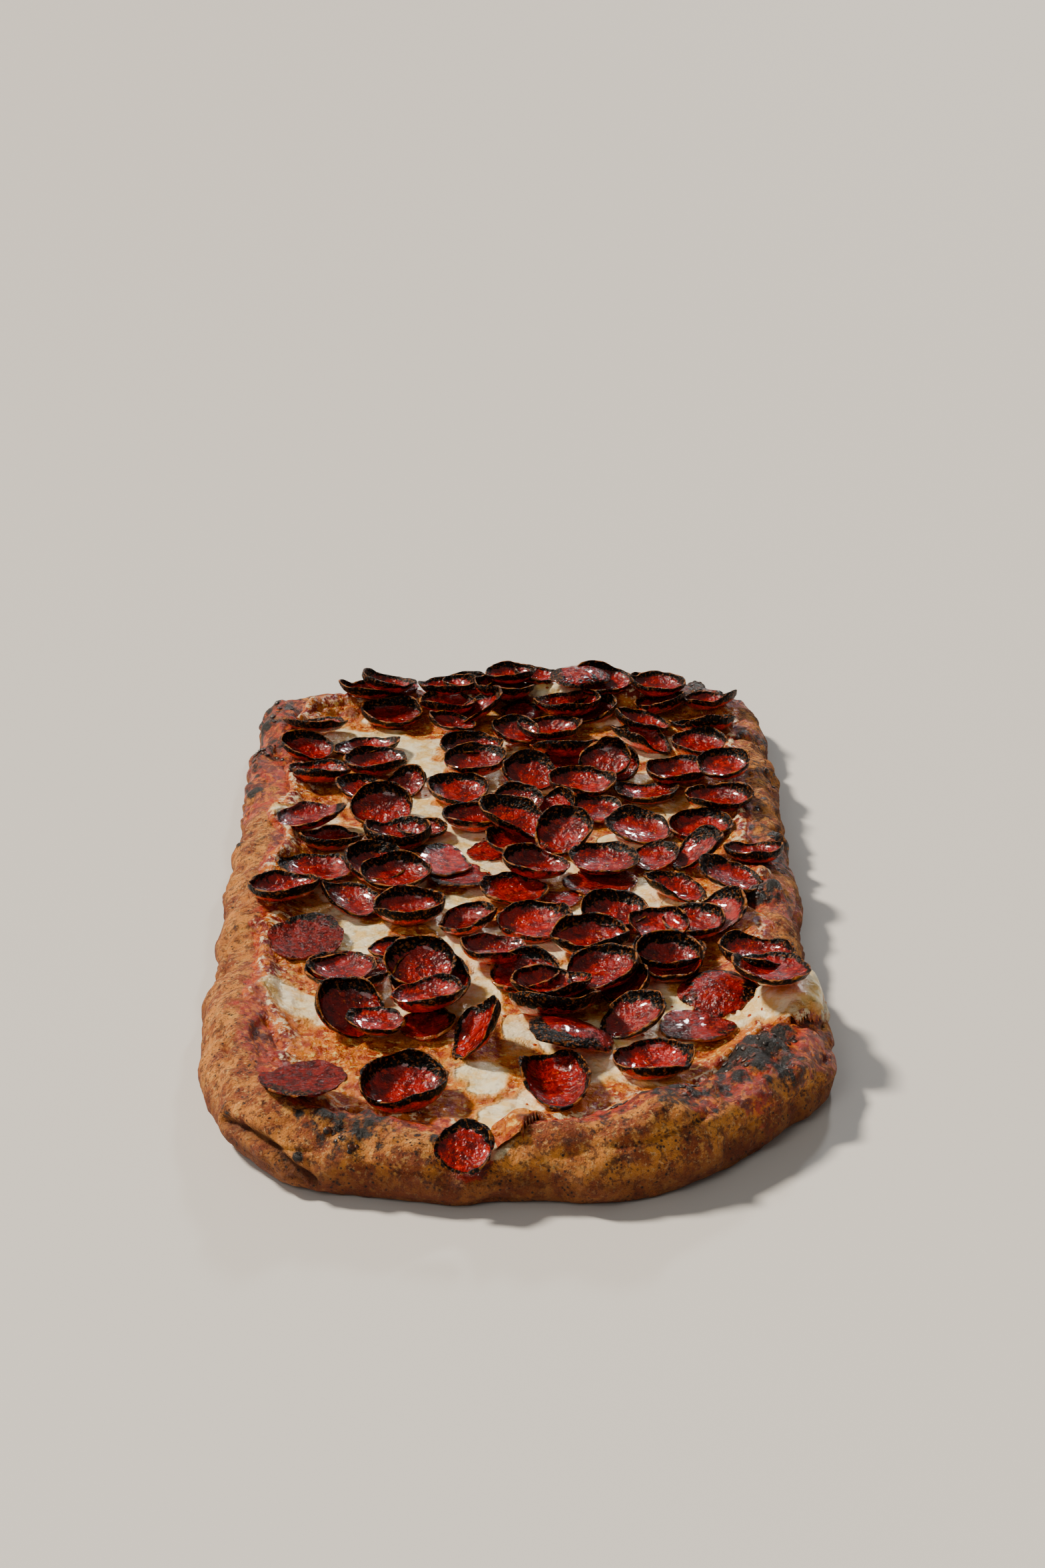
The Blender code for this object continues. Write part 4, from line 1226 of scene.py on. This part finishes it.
def fit_cheese(flat, height, inside, slices):
    """The height of the cheese after it has kept below the slices and climbed to those just over it, and
    how far each of its points is from the nearest slice."""
    points, faces, _ = joined(slices)
    slice_tree = tree_of(points, faces)
    near = np.full(len(flat), np.inf)
    for points, _, _ in slices:
        centre, radius = footprint(points)
        near = np.minimum(near, np.hypot(*(flat - centre).T) - radius)
    height = height.copy()
    for i in np.nonzero((near < 1) & (inside > LEAST_CHEESE))[0]:
        hit = slice_tree.ray_cast((*flat[i], UNDER_CHEESE), (0, 0, 1), RAY_LENGTH)[0]
        if hit is None:
            continue
        if hit[2] < height[i] + SLICE_CLEARANCE:
            height[i] = hit[2] - SLICE_CLEARANCE
        else:
            height[i] += CLIMB * max(CLIMB_REACH - (hit[2] - height[i]), 0)
    return height, near


def make_pizza():
    crust_points, crust_values = crust_shape()
    crust_flat = crust_points.reshape(-1, 3)
    crust = mesh_piece("crust_baked", crust_flat, closed_band(crust_points), baked_crust(), crust_values)
    crust_tree = tree_of(crust_flat, loop_faces(CRUST_STATIONS, len(crust_points)).tolist())

    flat, across, along, inset = cheese_grid()
    ground = np.full(len(flat), float(FLOOR))
    for i in np.nonzero(inset < FLOOR_REACH - 1)[0]:
        hit = crust_tree.ray_cast((*flat[i], OVERHEAD), (0, 0, -1))[0]
        ground[i] = hit[2] if hit else 0
    height, pool, bake, brown, inside = cheese_heights(flat, inset, ground)
    bed_points, bed_faces, _ = cheese_shape(flat, across, along, height, inside, {})

    pepperoni = fried_pepperoni()
    shown, tucked = lay_slices((tree_of(bed_points, bed_faces.tolist()), crust_tree))
    shown_piece = slices_piece("pepperoni_slices", shown, pepperoni)
    tucked_piece = slices_piece("pepperoni_tucked", tucked, pepperoni)

    height, near = fit_cheese(flat, height, inside, shown + tucked)
    oily = np.maximum(1 - smooth(-2, 7, near) - 0.35 * pool, 0.3 * (1 - pool))
    thin = 1 - smooth(0.35, 0.95, inside)
    values = {"pool": pool, "bake": bake, "brown": brown, "oily": oily, "thin": thin}
    points, faces, values = cheese_shape(flat, across, along, height, inside, values)
    cheese = mesh_piece("cheese_melted", points, faces.tolist(), melted_cheese(), values)

    grains = scatter_tree()
    blisters = scattered("crust_blisters", grains, crust, {
        "Spacing": 2.0 * MM, "Density": 80000.0, "Smallest": 0.5 * MM, "Largest": 1.7 * MM, "Flatness": 0.4,
        "Rise": -0.2, "Seed": 3, "Where": "grainy", "Finish": charred_bubble(),
    })
    beads = scattered("oil_beads", grains, cheese, {
        "Spacing": 5.0 * MM, "Density": 9000.0, "Smallest": 0.35 * MM, "Largest": 1.1 * MM, "Flatness": 0.45,
        "Rise": 0.2, "Seed": 8, "Where": "oily", "Finish": orange_oil(),
    })

    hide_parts("crust")
    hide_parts("cheese")
    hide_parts(*[node_name(number) for number in range(len(SLICES))])
    for piece, slot in (
        (crust, "baked_dough"), (cheese, "melted_cheese"), (shown_piece, "pepperoni"),
        (tucked_piece, "pepperoni"), (blisters, "baked_dough"), (beads, "melted_cheese"),
    ):
        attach(piece, "root")


# The studio

FLOOR_HALF = 60000
SENSOR_HEIGHT = 36
LENS = 46.99
CAMERA_TURN = (67.32, 0, -0.93)


def lamp(name, kind, place, **settings):
    """A light that shines from its place towards the pizza."""
    light = bpy.data.lights.new(name, kind)
    for key, value in settings.items():
        setattr(light, key, value)
    holder = bpy.data.objects.new(name, light)
    holder.location = place
    holder.rotation_euler = (-Vector(place)).to_track_quat("-Z", "Y").to_euler()
    bpy.context.scene.collection.objects.link(holder)


def make_studio():
    floor_finish = Finish("pale studio floor")
    floor_finish.set(Base_Color="#dcdad6", Roughness=0.8)
    corners = np.array([(-1, -1, 0), (1, -1, 0), (1, 1, 0), (-1, 1, 0)], float) * FLOOR_HALF
    floor = mesh_piece("studio_floor", corners, [(0, 1, 2, 3)], floor_finish.material)

    world = bpy.data.worlds.new("studio")
    world.use_nodes = True
    sky = world.node_tree.nodes["Background"].inputs
    sky["Color"].default_value = srgb("#f7f3ec")
    sky["Strength"].default_value = 0.18
    bpy.context.scene.world = world
    lamp("key", "SUN", (-0.8, 0.45, 0.9), energy=5.4, angle=math.radians(8), color=srgb("#fff1de")[:3])
    lamp("sheen", "SUN", (0.25, 1.0, 0.5), energy=0.9, angle=math.radians(5), color=srgb("#ffffff")[:3])
    lamp("window", "AREA", (-0.7, -1.3, 1.2), energy=5, size=0.7, color=srgb("#fffaf2")[:3])

    camera = bpy.data.cameras.new("camera")
    camera.sensor_fit = "VERTICAL"
    camera.sensor_height = SENSOR_HEIGHT
    camera.lens = LENS
    view = bpy.data.objects.new("camera", camera)
    view.location = EYE * MM
    view.rotation_euler = Euler([math.radians(angle) for angle in CAMERA_TURN])
    bpy.context.scene.collection.objects.link(view)
    bpy.context.scene.camera = view


make_pizza()
make_studio()
